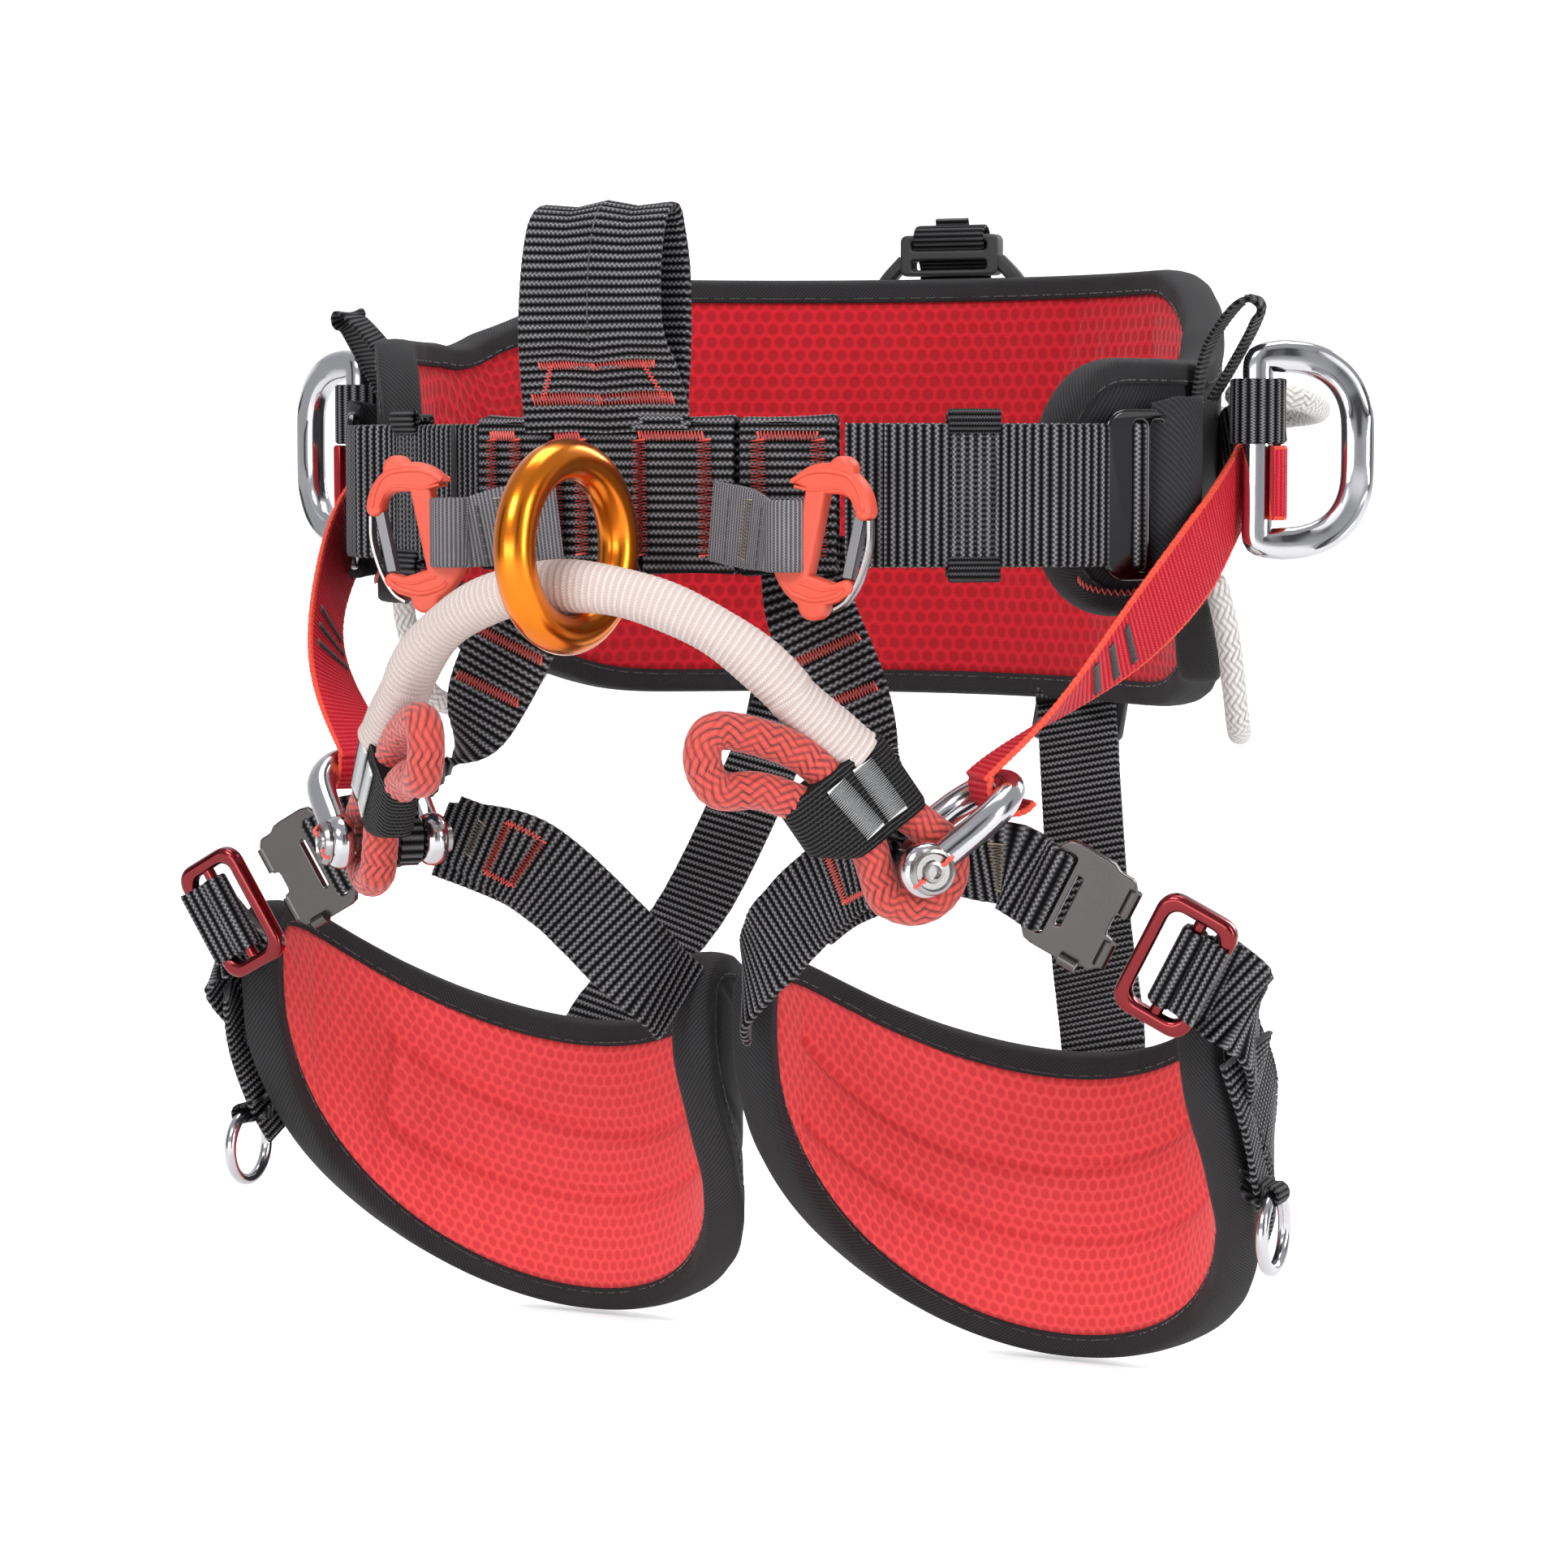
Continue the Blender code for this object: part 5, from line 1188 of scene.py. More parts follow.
def small_fittings():
    """Adjuster above the back of the belt, its tape and its wings."""
    at, normal, tangent = ring_axes(0.0)
    top = at + normal * 4 * MM + vec(0, 0, 86 * MM)
    holes = [[(x, y + dy * MM) for x, y in round_rect(15 * MM, 1.7 * MM, 1.2 * MM)] for dy in (-3.6, 3.6)]
    plate("ladder_adjuster", "black_plastic", "saddle", [round_rect(19.5 * MM, 7.6 * MM, 2.4 * MM)] + holes,
          7.0 * MM, 1.0 * MM, top, tangent, vec(0, 0, 1), ("back_adjuster",))
    tape = Mesh()
    threaded = ((3, -24), (3.2, -12), (3.4, -5), (0.5, 0), (-3, 4), (-3.2, 8.4), (0, 10.5), (3.2, 8.4),
                (4.6, 2), (4.8, -10))
    path = [top + normal * d * MM + vec(0, 0, z * MM) for d, z in threaded]
    Strap(path, tangent, 28 * MM, 1.6 * MM, pitch=1.7 * MM, rib=0.1 * MM).add(tape)
    end = [top + normal * d * MM + vec(0, 0, z * MM) for d, z in ((2, 7), (1.0, 11), (0.2, 13.5))]
    Strap(end, tangent, 13 * MM, 2.4 * MM, pitch=1.7 * MM, rib=0.1 * MM).add(tape)
    tape.piece("adjuster_tape", "fine_webbing", "saddle")
    bars = Mesh()
    for k in (-1, 1):
        foot = [top + tangent * k * x * MM + vec(0, 0, z * MM) for x, z in ((19, -2), (25, -8), (28, -12))]
        corners = ((1, 0.5), (0.5, 1), (-0.5, 1), (-1, 0.5), (-1, -0.5), (-0.5, -1), (0.5, -1), (1, -0.5))
        rod(bars, foot, normal, [(2.6 * MM * u, 2.6 * MM * v) for u, v in corners])
    bars.piece("adjuster_wings", "black_plastic", "saddle")


block()
chest()
small_fittings()
for name, hand in SIDES.items():
    waist_straps(hand, name)
    clips(hand, name)


# ------------------------------------------------------------------ bridge, shackles and side rings

PIN = pt(92, -112, -113)
PIN_AXIS = unit(vec(1, -1, 0))
PIN_RADIUS = 4.5 * MM
BOW = unit(vec(0.596, 0.539, 0.596))
JAW, SHACKLE_LENGTH = 31 * MM, 45 * MM
APEX = pt(0, -160, -27)
ARC_RADIUS, ARC_HALF = 78 * MM, 69


def arch(count=26, portion=1.0):
    """The bridge's arc from its top down the left side."""
    rise_v = APEX - BRIDGE_FOOT
    rise, up = np.linalg.norm(rise_v), unit(rise_v)
    points = []
    for k in range(count):
        t = math.radians(ARC_HALF * portion * k / (count - 1))
        points.append(BRIDGE_FOOT + vec(ARC_RADIUS * math.sin(t), 0, 0)
                      + up * (rise - ARC_RADIUS + ARC_RADIUS * math.cos(t)))
    return points


def arch_front():
    """Direction square to the arch's plane."""
    return np.cross(unit(APEX - BRIDGE_FOOT), vec(1, 0, 0))


def eye_axes():
    """Eye centre on the pin, the leg's direction up the arch and the inward direction."""
    eye = PIN + PIN_AXIS * 5.3 * MM
    up = arch()[-1] - eye
    up = unit(up - PIN_AXIS * np.dot(up, PIN_AXIS))
    across = np.cross(PIN_AXIS, up)
    return eye, up, across if across[0] < 0 else -across


def braided(mesh, path, radius, strands, hint, step=0.62 * MM, depth=0.55 * MM, taper=True, slant=1.0):
    """A rope whose sheath strands cross two over, two under."""
    rows, gap = resample(catmull(path, 6), step)
    sides, ups = carried(rows, hint)
    cols = strands * 7
    turns = np.arange(cols) / cols
    pitch = 2 * math.pi * radius / strands * slant
    rings, weave = [], []
    for i, centre in enumerate(rows):
        s = i * gap / pitch
        a, b = turns * strands + s, turns * strands - s
        over = np.mod(np.floor(a) - np.floor(b), 4) < 2
        ridge = np.where(over, a, b) % 1.0
        run = np.where(over, b, a) % 1.0
        height = np.sqrt(np.clip(1 - (2 * ridge - 1) ** 2, 0, 1))
        height *= 0.86 + 0.14 * np.sin(run * math.pi)
        end = min(i, len(rows) - 1 - i) * gap
        shrink = min(end / (0.5 * radius), 1.0) ** 0.4 * 0.75 + 0.25 if taper else 1.0
        size = (radius - depth * 0.5 + depth * (height - 0.5)) * shrink
        ring = centre + sides[i] * (size * np.cos(turns * 2 * math.pi))[:, None]
        rings.append(ring + ups[i] * (size * np.sin(turns * 2 * math.pi))[:, None])
        # weave is the strand height; the braid material paints shade into the grooves from it.
        weave.append((height ** 1.5 * 0.92 + 0.02).tolist())
    mesh.grid(rings, (turns * 2 * math.pi * radius).tolist(), np.arange(len(rows)) * gap,
              wrap=True, caps=True, weave=weave)


def rope_path():
    """Rope from the arc's end down round the pin, up through the cover and over in a bight."""
    eye, up, inner = eye_axes()
    radius, strand = PIN_RADIUS + 7.9 * MM, 6.1 * MM
    path = [eye + up * 38 * MM - inner * strand, eye + up * 20 * MM - inner * strand * 1.1]
    path += [eye + (-inner * math.cos(t) - up * math.sin(t)) * radius
             for t in np.radians(np.arange(0, 181, 20))]
    path += [eye + up * 20 * MM + inner * strand * 1.1, eye + up * 38 * MM + inner * strand,
             eye + up * 54 * MM + inner * (strand + 5 * MM)]
    top = eye + up * 72 * MM + inner * 26 * MM
    path += [top, top + inner * 9 * MM - up * 3 * MM, top + inner * 11 * MM - up * 14 * MM,
             eye + up * 50 * MM + inner * 27 * MM, eye + up * 40 * MM + inner * 19.5 * MM,
             eye + up * 34 * MM + inner * 17.4 * MM, eye + up * 28 * MM + inner * 17.0 * MM]
    return path


def rope_bridge():
    """Braided rope, its ribbed sleeve, the sewn covers and the ring."""
    top = arch(12)
    half = top[:-1] + rope_path()
    whole = [flip(p, -1) for p in half[::-1]] + half[1:]
    mesh = Mesh()
    braided(mesh, whole, 5.9 * MM, 12, arch_front(), depth=0.50 * MM, slant=1.35)
    mesh.piece("braided_rope", "red_rope", "bridge", ("bridge_rope",), sharp=0)
    sleeve = Mesh()
    eye, leg_up, inner = eye_axes()
    line = arch(26, 0.88) + [eye + leg_up * 38.5 * MM - inner * 6.1 * MM]
    path = [flip(p, -1) for p in line[::-1]] + line[1:]
    rows, gap = resample(catmull(path, 4), 0.62 * MM)
    sides, ups = carried(rows, arch_front())
    turns = np.arange(36) * 2 * math.pi / 36
    rings = []
    for i, p in enumerate(rows):
        end = min(i, len(rows) - 1 - i) * gap
        lip = 0.55 * MM * math.exp(-(end / (2.2 * MM)) ** 2)
        sag = 0.35 * MM * math.sin(i * gap / (13 * MM)) + 0.2 * MM * math.sin(i * gap / (5.3 * MM))
        size = 7.75 * MM + 0.10 * MM * math.cos(2 * math.pi * i * gap / (2.1 * MM)) + lip + sag
        oval = 1 + 0.03 * np.sin(turns * 2 + i * gap * 60)
        rings.append(p + sides[i] * (size * oval * np.cos(turns))[:, None]
                     + ups[i] * (size / oval * np.sin(turns))[:, None])
    for last in (0, -1):
        inside = rows[last] + (rings[last] - rows[last]) * 0.80
        rings = [inside] + rings if last == 0 else rings + [inside]
    sleeve.grid(rings, (turns * 8 * MM).tolist(), np.arange(len(rings)) * gap, wrap=True, caps=True)
    sleeve.piece("ribbed_sleeve", "white_sleeve", "bridge", ("bridge_sleeve",), sharp=50)
    for label, side in SIDES.items():
        cover(side, label)
    ring = Mesh()
    centre = APEX + vec(0, 0, 11.7 * MM)
    turn = math.radians(-9)
    face = vec(math.cos(turn), math.sin(turn), 0)
    other = np.cross(vec(0, 0, 1), face)
    circle = [centre + (vec(0, 0, 1) * math.cos(t) + other * math.sin(t)) * 26.6 * MM
              for t in np.arange(120) * 2 * math.pi / 120]
    rod(ring, circle, face, circle_section(6.35 * MM, 40), closed=True, smooth=False)
    ring.piece("anodised_ring", "orange_anodised", "ring", ("bridge_ring",), sharp=0)


def cover(side, label):
    """Black ribbed cover sewn round both strands with two pale bars."""
    eye, up, inner = eye_axes()
    thick = PIN_AXIS
    hole = (2 * 5.7 + 2.2 + 0.9, 5.7 + 0.9 + 0.6)
    shape = []
    for t in np.arange(44) * 2 * math.pi / 44:
        c, s = math.cos(t), math.sin(t)
        u = math.copysign(abs(c) ** 0.45, c)
        v = math.copysign(abs(s) ** 0.6, s)
        shape.append((u, v))
    mesh = Mesh()
    levels = np.arange(14.5, 41.6, 0.6) * MM

    def shift(u, level):
        return max(u, 0.0) * 10.5 * min(max((level / MM - 14) / 9, 0.0), 1.0)

    rings = []
    for level in levels:
        edge = min(level - levels[0], levels[-1] - level)
        pinch = 1 - 0.05 * math.exp(-(edge / (1.2 * MM)) ** 2)
        ring = []
        for k, (u, v) in enumerate(shape):
            rib = 0.10 * MM * math.cos(k * math.pi)
            waist_in = 1 - 0.13 * (1 - abs(u)) * (1 if abs(v) > 0.6 else 0)
            ring.append(flip(eye + up * level + inner * ((hole[0] * u + shift(u, level)) * MM * pinch)
                             + thick * ((hole[1] * MM) * v * pinch * waist_in + rib), side))
        rings.append(ring)
    for ends in (0, -1):
        middle = np.mean(rings[ends], axis=0)
        inside = [middle + (np.array(p) - middle) * 0.90 for p in rings[ends]]
        rings = [inside] + rings if ends == 0 else rings + [inside]
    places = np.concatenate([[levels[0]], levels, [levels[-1]]])
    along_ribs = [k * 0.95 * MM for k in range(44)]
    mesh.grid(rings, along_ribs, places, wrap=True, caps=True)
    mesh.piece(f"sewn_cover_{label}", "cover_webbing", "bridge", (f"rope_cover_{label}",), sharp=50)
    bars = Mesh()

    def place(level, u):
        depth = (hole[1] + 0.45) * MM * (1 - 0.10 * (1 - abs(u) / (hole[0] * MM)))
        return flip(eye + up * level + inner * u + thick * depth, side)

    for middle, lean in ((-3.4 * MM, 0.6 * MM), (5.4 * MM, 2.4 * MM)):
        zigzag(bars, place, (18.5 * MM, middle), (38 * MM, middle + lean), 3.4 * MM, 0.66 * MM, 0.46 * MM)
    bars.piece(f"cover_bars_{label}", "grey_thread", "bridge", sharp=0)


def lathe(mesh, profile, centre, axis, hint, sides=40):
    """A turned form; profile rows are (radius, place along the axis)."""
    a = unit(hint - axis * np.dot(hint, axis))
    b = np.cross(axis, a)
    turns = np.arange(sides) * 2 * math.pi / sides
    rings = []
    for radius, place in profile:
        rings.append(centre + axis * place + a * (radius * np.cos(turns))[:, None]
                     + b * (radius * np.sin(turns))[:, None])
    gaps = [0.0]
    for p, q in zip(profile, profile[1:]):
        gaps.append(gaps[-1] + math.hypot(q[0] - p[0], q[1] - p[1]))
    mesh.grid(rings, (turns * 0.005).tolist(), gaps, wrap=True, caps=True)


def shackle(side, label):
    """Polished bow with ball lugs, and the screw pin with its socket head."""
    pin, axis, bow = flip(PIN, side), flip(PIN_AXIS, side), flip(BOW, side)
    half, reach = JAW / 2, SHACKLE_LENGTH - 4.8 * MM
    path = [pin + axis * half + bow * k * reach / 6 for k in (0.6, 1.1, 2, 3)]
    path += [pin + axis * half * math.cos(t) + bow * (reach * 0.55 + reach * 0.45 * math.sin(t))
             for t in np.radians(np.arange(15, 166, 15))]
    path += [pin - axis * half + bow * k * reach / 6 for k in (3, 2, 1.1, 0.6)]
    mesh = Mesh()
    rod(mesh, path, np.cross(axis, bow), 4.75 * MM)
    lower = [(0.5, -4.1), (6.0, -4.1), (7.4, -3.6), (8.4, -2.2)]
    lug = lower + [(8.9, 0.0)] + [(r, -h) for r, h in lower[::-1]]
    for place in (half, -half):
        lathe(mesh, [(r * MM, h * MM) for r, h in lug], pin + axis * place, axis, bow)
    mesh.piece(f"bow_shackle_{label}", "polished_steel", "saddle", (f"shackle_bow_{label}",), sharp=50)
    head = Mesh()
    base = half + 4.1 * MM
    profile = [(0.0, -half - 6.6 * MM), (3.4 * MM, -half - 6.6 * MM), (4.4 * MM, -half - 6.0 * MM),
               (4.45 * MM, base), (7.3 * MM, base), (7.5 * MM, base + 1.0 * MM), (6.9 * MM, base + 2.2 * MM),
               (6.0 * MM, base + 2.5 * MM), (5.4 * MM, base + 1.5 * MM), (3.6 * MM, base + 1.5 * MM),
               (3.2 * MM, base + 2.6 * MM), (2.2 * MM, base + 2.8 * MM), (1.9 * MM, base + 1.2 * MM),
               (0.0, base + 1.2 * MM)]
    lathe(head, profile, pin, axis, bow)
    head.piece(f"screw_pin_{label}", "satin_steel", f"pin_{label}", (f"shackle_pin_{label}",), sharp=30)
    marks = Mesh()
    a = unit(np.cross(axis, bow))
    for sign in (1, -1):
        line = [pin + axis * (base + h * MM) + bow * sign * r * MM + a * w * MM for r, h, w in
                ((3.2, 2.5, 0.3), (4.2, 2.3, -0.3), (5.4, 2.7, 0.4), (6.4, 2.6, 0.1), (7.6, 1.2, -0.2))]
        stitches(marks, line, 0.75 * MM)
    marks.piece(f"pin_marks_{label}", "red_thread", f"pin_{label}", sharp=0)


D_BAR = pt(167, 2, 14)
D_ROD = 4.8 * MM


def side_ring(side, label):
    """Forged D ring with pockets in the shoulders of its bow."""
    bar = flip(D_BAR, side)
    turn = math.radians(26)
    out = vec(math.cos(turn) * side, math.sin(turn), 0)
    half, depth, flat = 35 * MM - D_ROD, 42 * MM - 2 * D_ROD, 5 * MM
    path = [bar + vec(0, 0, z) for z in np.linspace(-half + 2.6 * MM, half - 2.6 * MM, 8)]
    path.append(bar + out * 1.6 * MM + vec(0, 0, half - 0.6 * MM))
    curve = []
    for t in np.radians(np.linspace(90, 0, 12)):
        curve.append((6 * MM + (depth - 6 * MM) * math.cos(t) ** 0.8,
                      flat + (half - flat) * math.sin(t) ** 0.8))
    path += [bar + out * u + vec(0, 0, z) for u, z in curve]
    path += [bar + out * u + vec(0, 0, -z) for u, z in curve[::-1]]
    path.append(bar + out * 1.6 * MM + vec(0, 0, -half + 0.6 * MM))
    flatwise = unit(np.cross(out, vec(0, 0, 1)))
    rows, gap = resample(catmull(path, 6, True), 0.8 * MM, True)
    sides, ups = carried(rows, flatwise, True)
    turns = np.arange(32) * 2 * math.pi / 32
    c, s = np.cos(turns), np.sin(turns)
    base_u = np.sign(c) * np.abs(c) ** 0.72
    base_v = np.sign(s) * np.abs(s) ** 0.80
    rings = []
    for i, p in enumerate(rows):
        reach = float(np.dot(p - bar, out))
        z = abs(float((p - bar)[2]))
        on_bow = min(max((reach - 3 * MM) / (5 * MM), 0.0), 1.0)
        wide = D_ROD * (1.0 + 0.10 * on_bow)
        flat_side = D_ROD * (0.98 - 0.06 * on_bow)
        spot = 0.0
        if reach > 8 * MM:
            spot = 1.25 - abs(math.degrees(math.atan2(z, reach - 6 * MM)) - 45) / 30
        spot = min(max(spot, 0.0), 1.0)
        hollow = np.clip((0.62 - np.abs(base_v)) / 0.22, 0, 1)
        dent = hollow * hollow * (3 - 2 * hollow) * np.sign(c) * 0.9 * MM * spot * spot * (3 - 2 * spot)
        rings.append(p + sides[i] * (flat_side * base_u - dent)[:, None] + ups[i] * (wide * base_v)[:, None])
    mesh = Mesh()
    mesh.grid(rings, (turns * D_ROD).tolist(), np.arange(len(rows)) * gap, wrap=True, loop=True)
    mesh.piece(f"forged_ring_{label}", "polished_steel", f"side_ring_{label}", (f"side_d_ring_{label}",),
               sharp=32)


def back_webbing():
    """Webbing round the back of the pad, narrowing to the folded loops on the D rings' bars."""
    def tape(side):
        bar = flip(D_BAR, side)
        level = vec(0, 0, 26.5 * MM - bar[2])
        radius = D_ROD + 2.9 * MM
        start = waist(side * 80, 2.9 * MM, 26.5 * MM * 0.6)
        loop = [bar + level + vec(math.cos(t) * side, math.sin(t), 0) * radius
                for t in np.radians(np.arange(45, -166, -21))]
        return [start, start * 0.5 + loop[0] * 0.5] + loop

    left = tape(1)
    ring = [waist(a, 2.9 * MM) for a in range(-72, 73, 6)]
    widths = [21.0] * len(left) + [min(21 + 5.0 * k, 45) for k in range(1, 6)]
    widths = widths + [45.0] * (len(ring) - 10) + widths[::-1]
    path = [flip(p, -1) for p in left[::-1]] + ring + left
    Strap(path, vec(0, 0, 1), np.array(widths) * MM, steps=5, rib=0.16 * MM).piece(
        "belt_webbing", "black_webbing", "saddle", ("back_webbing",))
    sewn = Mesh()

    def place(deg, z):
        return waist(deg * 1000, 4.3 * MM, z)

    for centre in (-62, -30, 30, 62):
        for shift in (-1.6, 1.6):
            deg = (centre + shift) / 1000
            zigzag(sewn, place, (deg, -17 * MM), (deg, 17 * MM), 0.0006, 1.1 * MM)
    sewn.piece("belt_webbing_bars", "red_thread", "saddle", sharp=0)


def side_strap(side, label):
    """Red strap, folded and twisted, from the D ring's bar down to the shackle."""
    bar = flip(D_BAR, side)
    top = bar + vec(0, 0, 3.5 * MM - bar[2])
    pin, axis = flip(PIN, side), flip(PIN_AXIS, side)
    bow = pin + flip(BOW, side) * (SHACKLE_LENGTH - 4.8 * MM)
    radius = D_ROD + 3.8 * MM
    down = unit(bow - top)
    flat_down = unit(down * vec(1, 1, 0))
    turn = np.cross(flat_down, vec(0, 0, 1)) * side
    loop = [top + (-flat_down * math.cos(t) + turn * math.sin(t)) * radius
            for t in np.radians(np.arange(-100, 81, 20))]
    away = unit(down - axis * np.dot(down, axis))
    bulge = np.cross(axis, away) * side
    foot = [bow + (away * math.cos(t) + bulge * math.sin(t)) * 8.4 * MM
            for t in np.radians(np.arange(-80, 101, 20))]
    out = flip(pt(13, -8, 1), side)
    between = [loop[-1] * (1 - f) + foot[0] * f + out * (4 * f * (1 - f)) for f in (0.25, 0.5, 0.75)]
    path = loop + between + foot
    upright = vec(0, 0, 1)
    across = [upright] * len(loop) + [upright * (1 - f) + axis * f for f in (0.06, 0.20, 0.52)]
    across += [axis] * len(foot)
    width = [24] * len(loop) + [29, 27, 22] + [16] * len(foot)
    strap = Strap(path, across, np.array(width) * MM, 2.0 * MM, pitch=1.9 * MM, steps=8, rib=0.10 * MM)
    strap.piece(f"red_strap_{label}", "red_webbing", "saddle", (f"side_strap_{label}",))
    bars = Mesh()
    for sign in (1.0, -1.0):
        place = lambda s, x, sign=sign: strap.at(s, x, 0.35 * MM, sign)
        for share in (0.56, 0.60, 0.64):
            at = strap.length * share
            zigzag(bars, place, (at, -8 * MM), (at, 8 * MM), 1.2 * MM, 1.1 * MM)
    bars.piece(f"red_strap_bars_{label}", "black_thread", "saddle", sharp=0)


def riser(side, label):
    """Webbing from the front block down to the shackle's pin, with red cross bars."""
    block_end = flip(pt(45, -85.5, -17), side)
    below = flip(pt(50, -91, -36), side)
    pin, axis = flip(PIN, side), flip(PIN_AXIS, side)
    eye = pin - axis * 6.9 * MM
    towards = unit(block_end - eye)
    up = unit(towards - axis * np.dot(towards, axis))
    out = np.cross(axis, up) * side
    loop = [eye + (up * math.cos(t) + out * math.sin(t)) * (PIN_RADIUS + 2.3 * MM)
            for t in np.radians(np.arange(-20, 301, 20))]
    back = pt(0, 7, 0)
    path = [block_end, below, below * 0.65 + eye * 0.35 + back * 0.5, below * 0.35 + eye * 0.65 + back,
            eye + up * 18 * MM + back * 0.6 + axis * 1.5 * MM] + loop[1:]
    widths = [31, 31, 30, 24, 11] + [7.6] * (len(loop) - 1)
    wide = vec(0.8 * side, 0, 0.4)
    across = [wide, wide, wide, wide * 0.5 + axis * side * 0.5] + [axis * side] * len(loop)
    strap = Strap(path, across, np.array(widths) * MM, 2.8 * MM, steps=8, rib=0.24 * MM)
    strap.piece(f"riser_webbing_{label}", "black_webbing", "saddle", (f"riser_strap_{label}",))
    bars = Mesh()
    sign = 1.0 if strap.up[20][1] < 0 else -1.0
    place = lambda s, x: strap.at(s, x, 0.48 * MM, sign)
    for s, reach in ((34.0, 13.2), (50.5, 12.2)):
        zigzag(bars, place, (s * MM, -reach * MM), ((s + 1.5) * MM, reach * MM), 1.5 * MM, 1.05 * MM)
    bars.piece(f"riser_bars_{label}", "red_thread", "saddle", sharp=0)


rope_bridge()
back_webbing()
for name, hand in SIDES.items():
    shackle(hand, name)
    side_ring(hand, name)
    side_strap(hand, name)
    riser(hand, name)


# ------------------------------------------------------------------ leg loops

LEG_CENTRE = pt(92, -43, -245)
LEG_RADIUS, LEG_RISE = 87 * MM, 65 * MM
LEG_HALF_HEIGHT, LEG_HALF_ANGLE, LEG_POWER = 53 * MM, 102, 2.6
PLATE_AT, FRAME_AT = pt(139, -85, -127), pt(167, -81, -142)


def leg(side, angle, outward=0.0, rise=0.0):
    """A point on the leg ring; degrees from the back, positive outward."""
    t = math.radians(angle)
    radius = LEG_RADIUS + outward
    return vec(side * (LEG_CENTRE[0] + radius * math.sin(t)), LEG_CENTRE[1] + radius * math.cos(t),
               LEG_CENTRE[2] + LEG_RISE * (1 - math.cos(t)) + rise)


def leg_height(along):
    """Half the leg pad's height along its length."""
    share = min(abs(along) / (math.radians(LEG_HALF_ANGLE) * LEG_RADIUS), 1.0)
    return LEG_HALF_HEIGHT * (1 - share ** LEG_POWER) ** (1 / LEG_POWER)


def leg_pad(side, label):
    """Puffed coral lining with its seams, black shell and edge tape."""
    body = f"leg_loop_{label}"
    half = math.radians(LEG_HALF_ANGLE) * LEG_RADIUS

    def spot(along, outward, rise):
        return leg(side, 5 + math.degrees(along / LEG_RADIUS), outward, rise)

    def seam_lines(a, z):
        upper = abs(z - 15 * MM - 5 * MM * math.sin(a / (60 * MM)))
        lower = abs(z + 10 * MM - 6 * MM * math.cos(a / (75 * MM)) + 6 * MM)
        end = abs(a - 78 * MM + z * 0.18) if -12 * MM < z < 22 * MM else 1.0
        long = min(upper, lower) if -0.82 * half < a < 79 * MM else 1.0
        return math.exp(-(min(long, end) / (2.3 * MM)) ** 2)

    inner = outline(leg_height, half, BINDING - 3.0 * MM)
    cushion(f"leg_lining_{label}", "leg_mesh", body, inner, spot, -9.4 * MM, 3.8 * MM,
            (f"leg_pad_lining_{label}",), -1.0, channels=seam_lines, limit=3.5 * MM, pressure=5.0,
            cell=2.4 * MM)

    def shell_lines(a, z):
        line = min(abs(abs(z) - 19 * MM), abs(abs(a) - 84 * MM))
        return math.exp(-(line / (1.6 * MM)) ** 2)

    cushion(f"leg_shell_{label}", "shell_cloth", body, inner, spot, -0.9 * MM, 1.4 * MM,
            (f"leg_pad_core_{label}",), 1.0, channels=shell_lines, limit=0.8 * MM, pressure=1.5,
            cell=3.2 * MM)
    edging(f"leg_edging_{label}", body, outline(leg_height, half, BINDING / 2), spot, -12.5 * MM, 0.5 * MM,
           (f"leg_pad_binding_{label}",))


def buckle_axes(side):
    """Strap direction, slot direction and outward face of the leg buckle."""
    along = unit(flip(FRAME_AT - PLATE_AT, side))
    tall = vec(0.42 * side, -0.1, 0.88)
    tall = unit(tall - along * np.dot(tall, along))
    return along, tall, np.cross(along, tall) * side


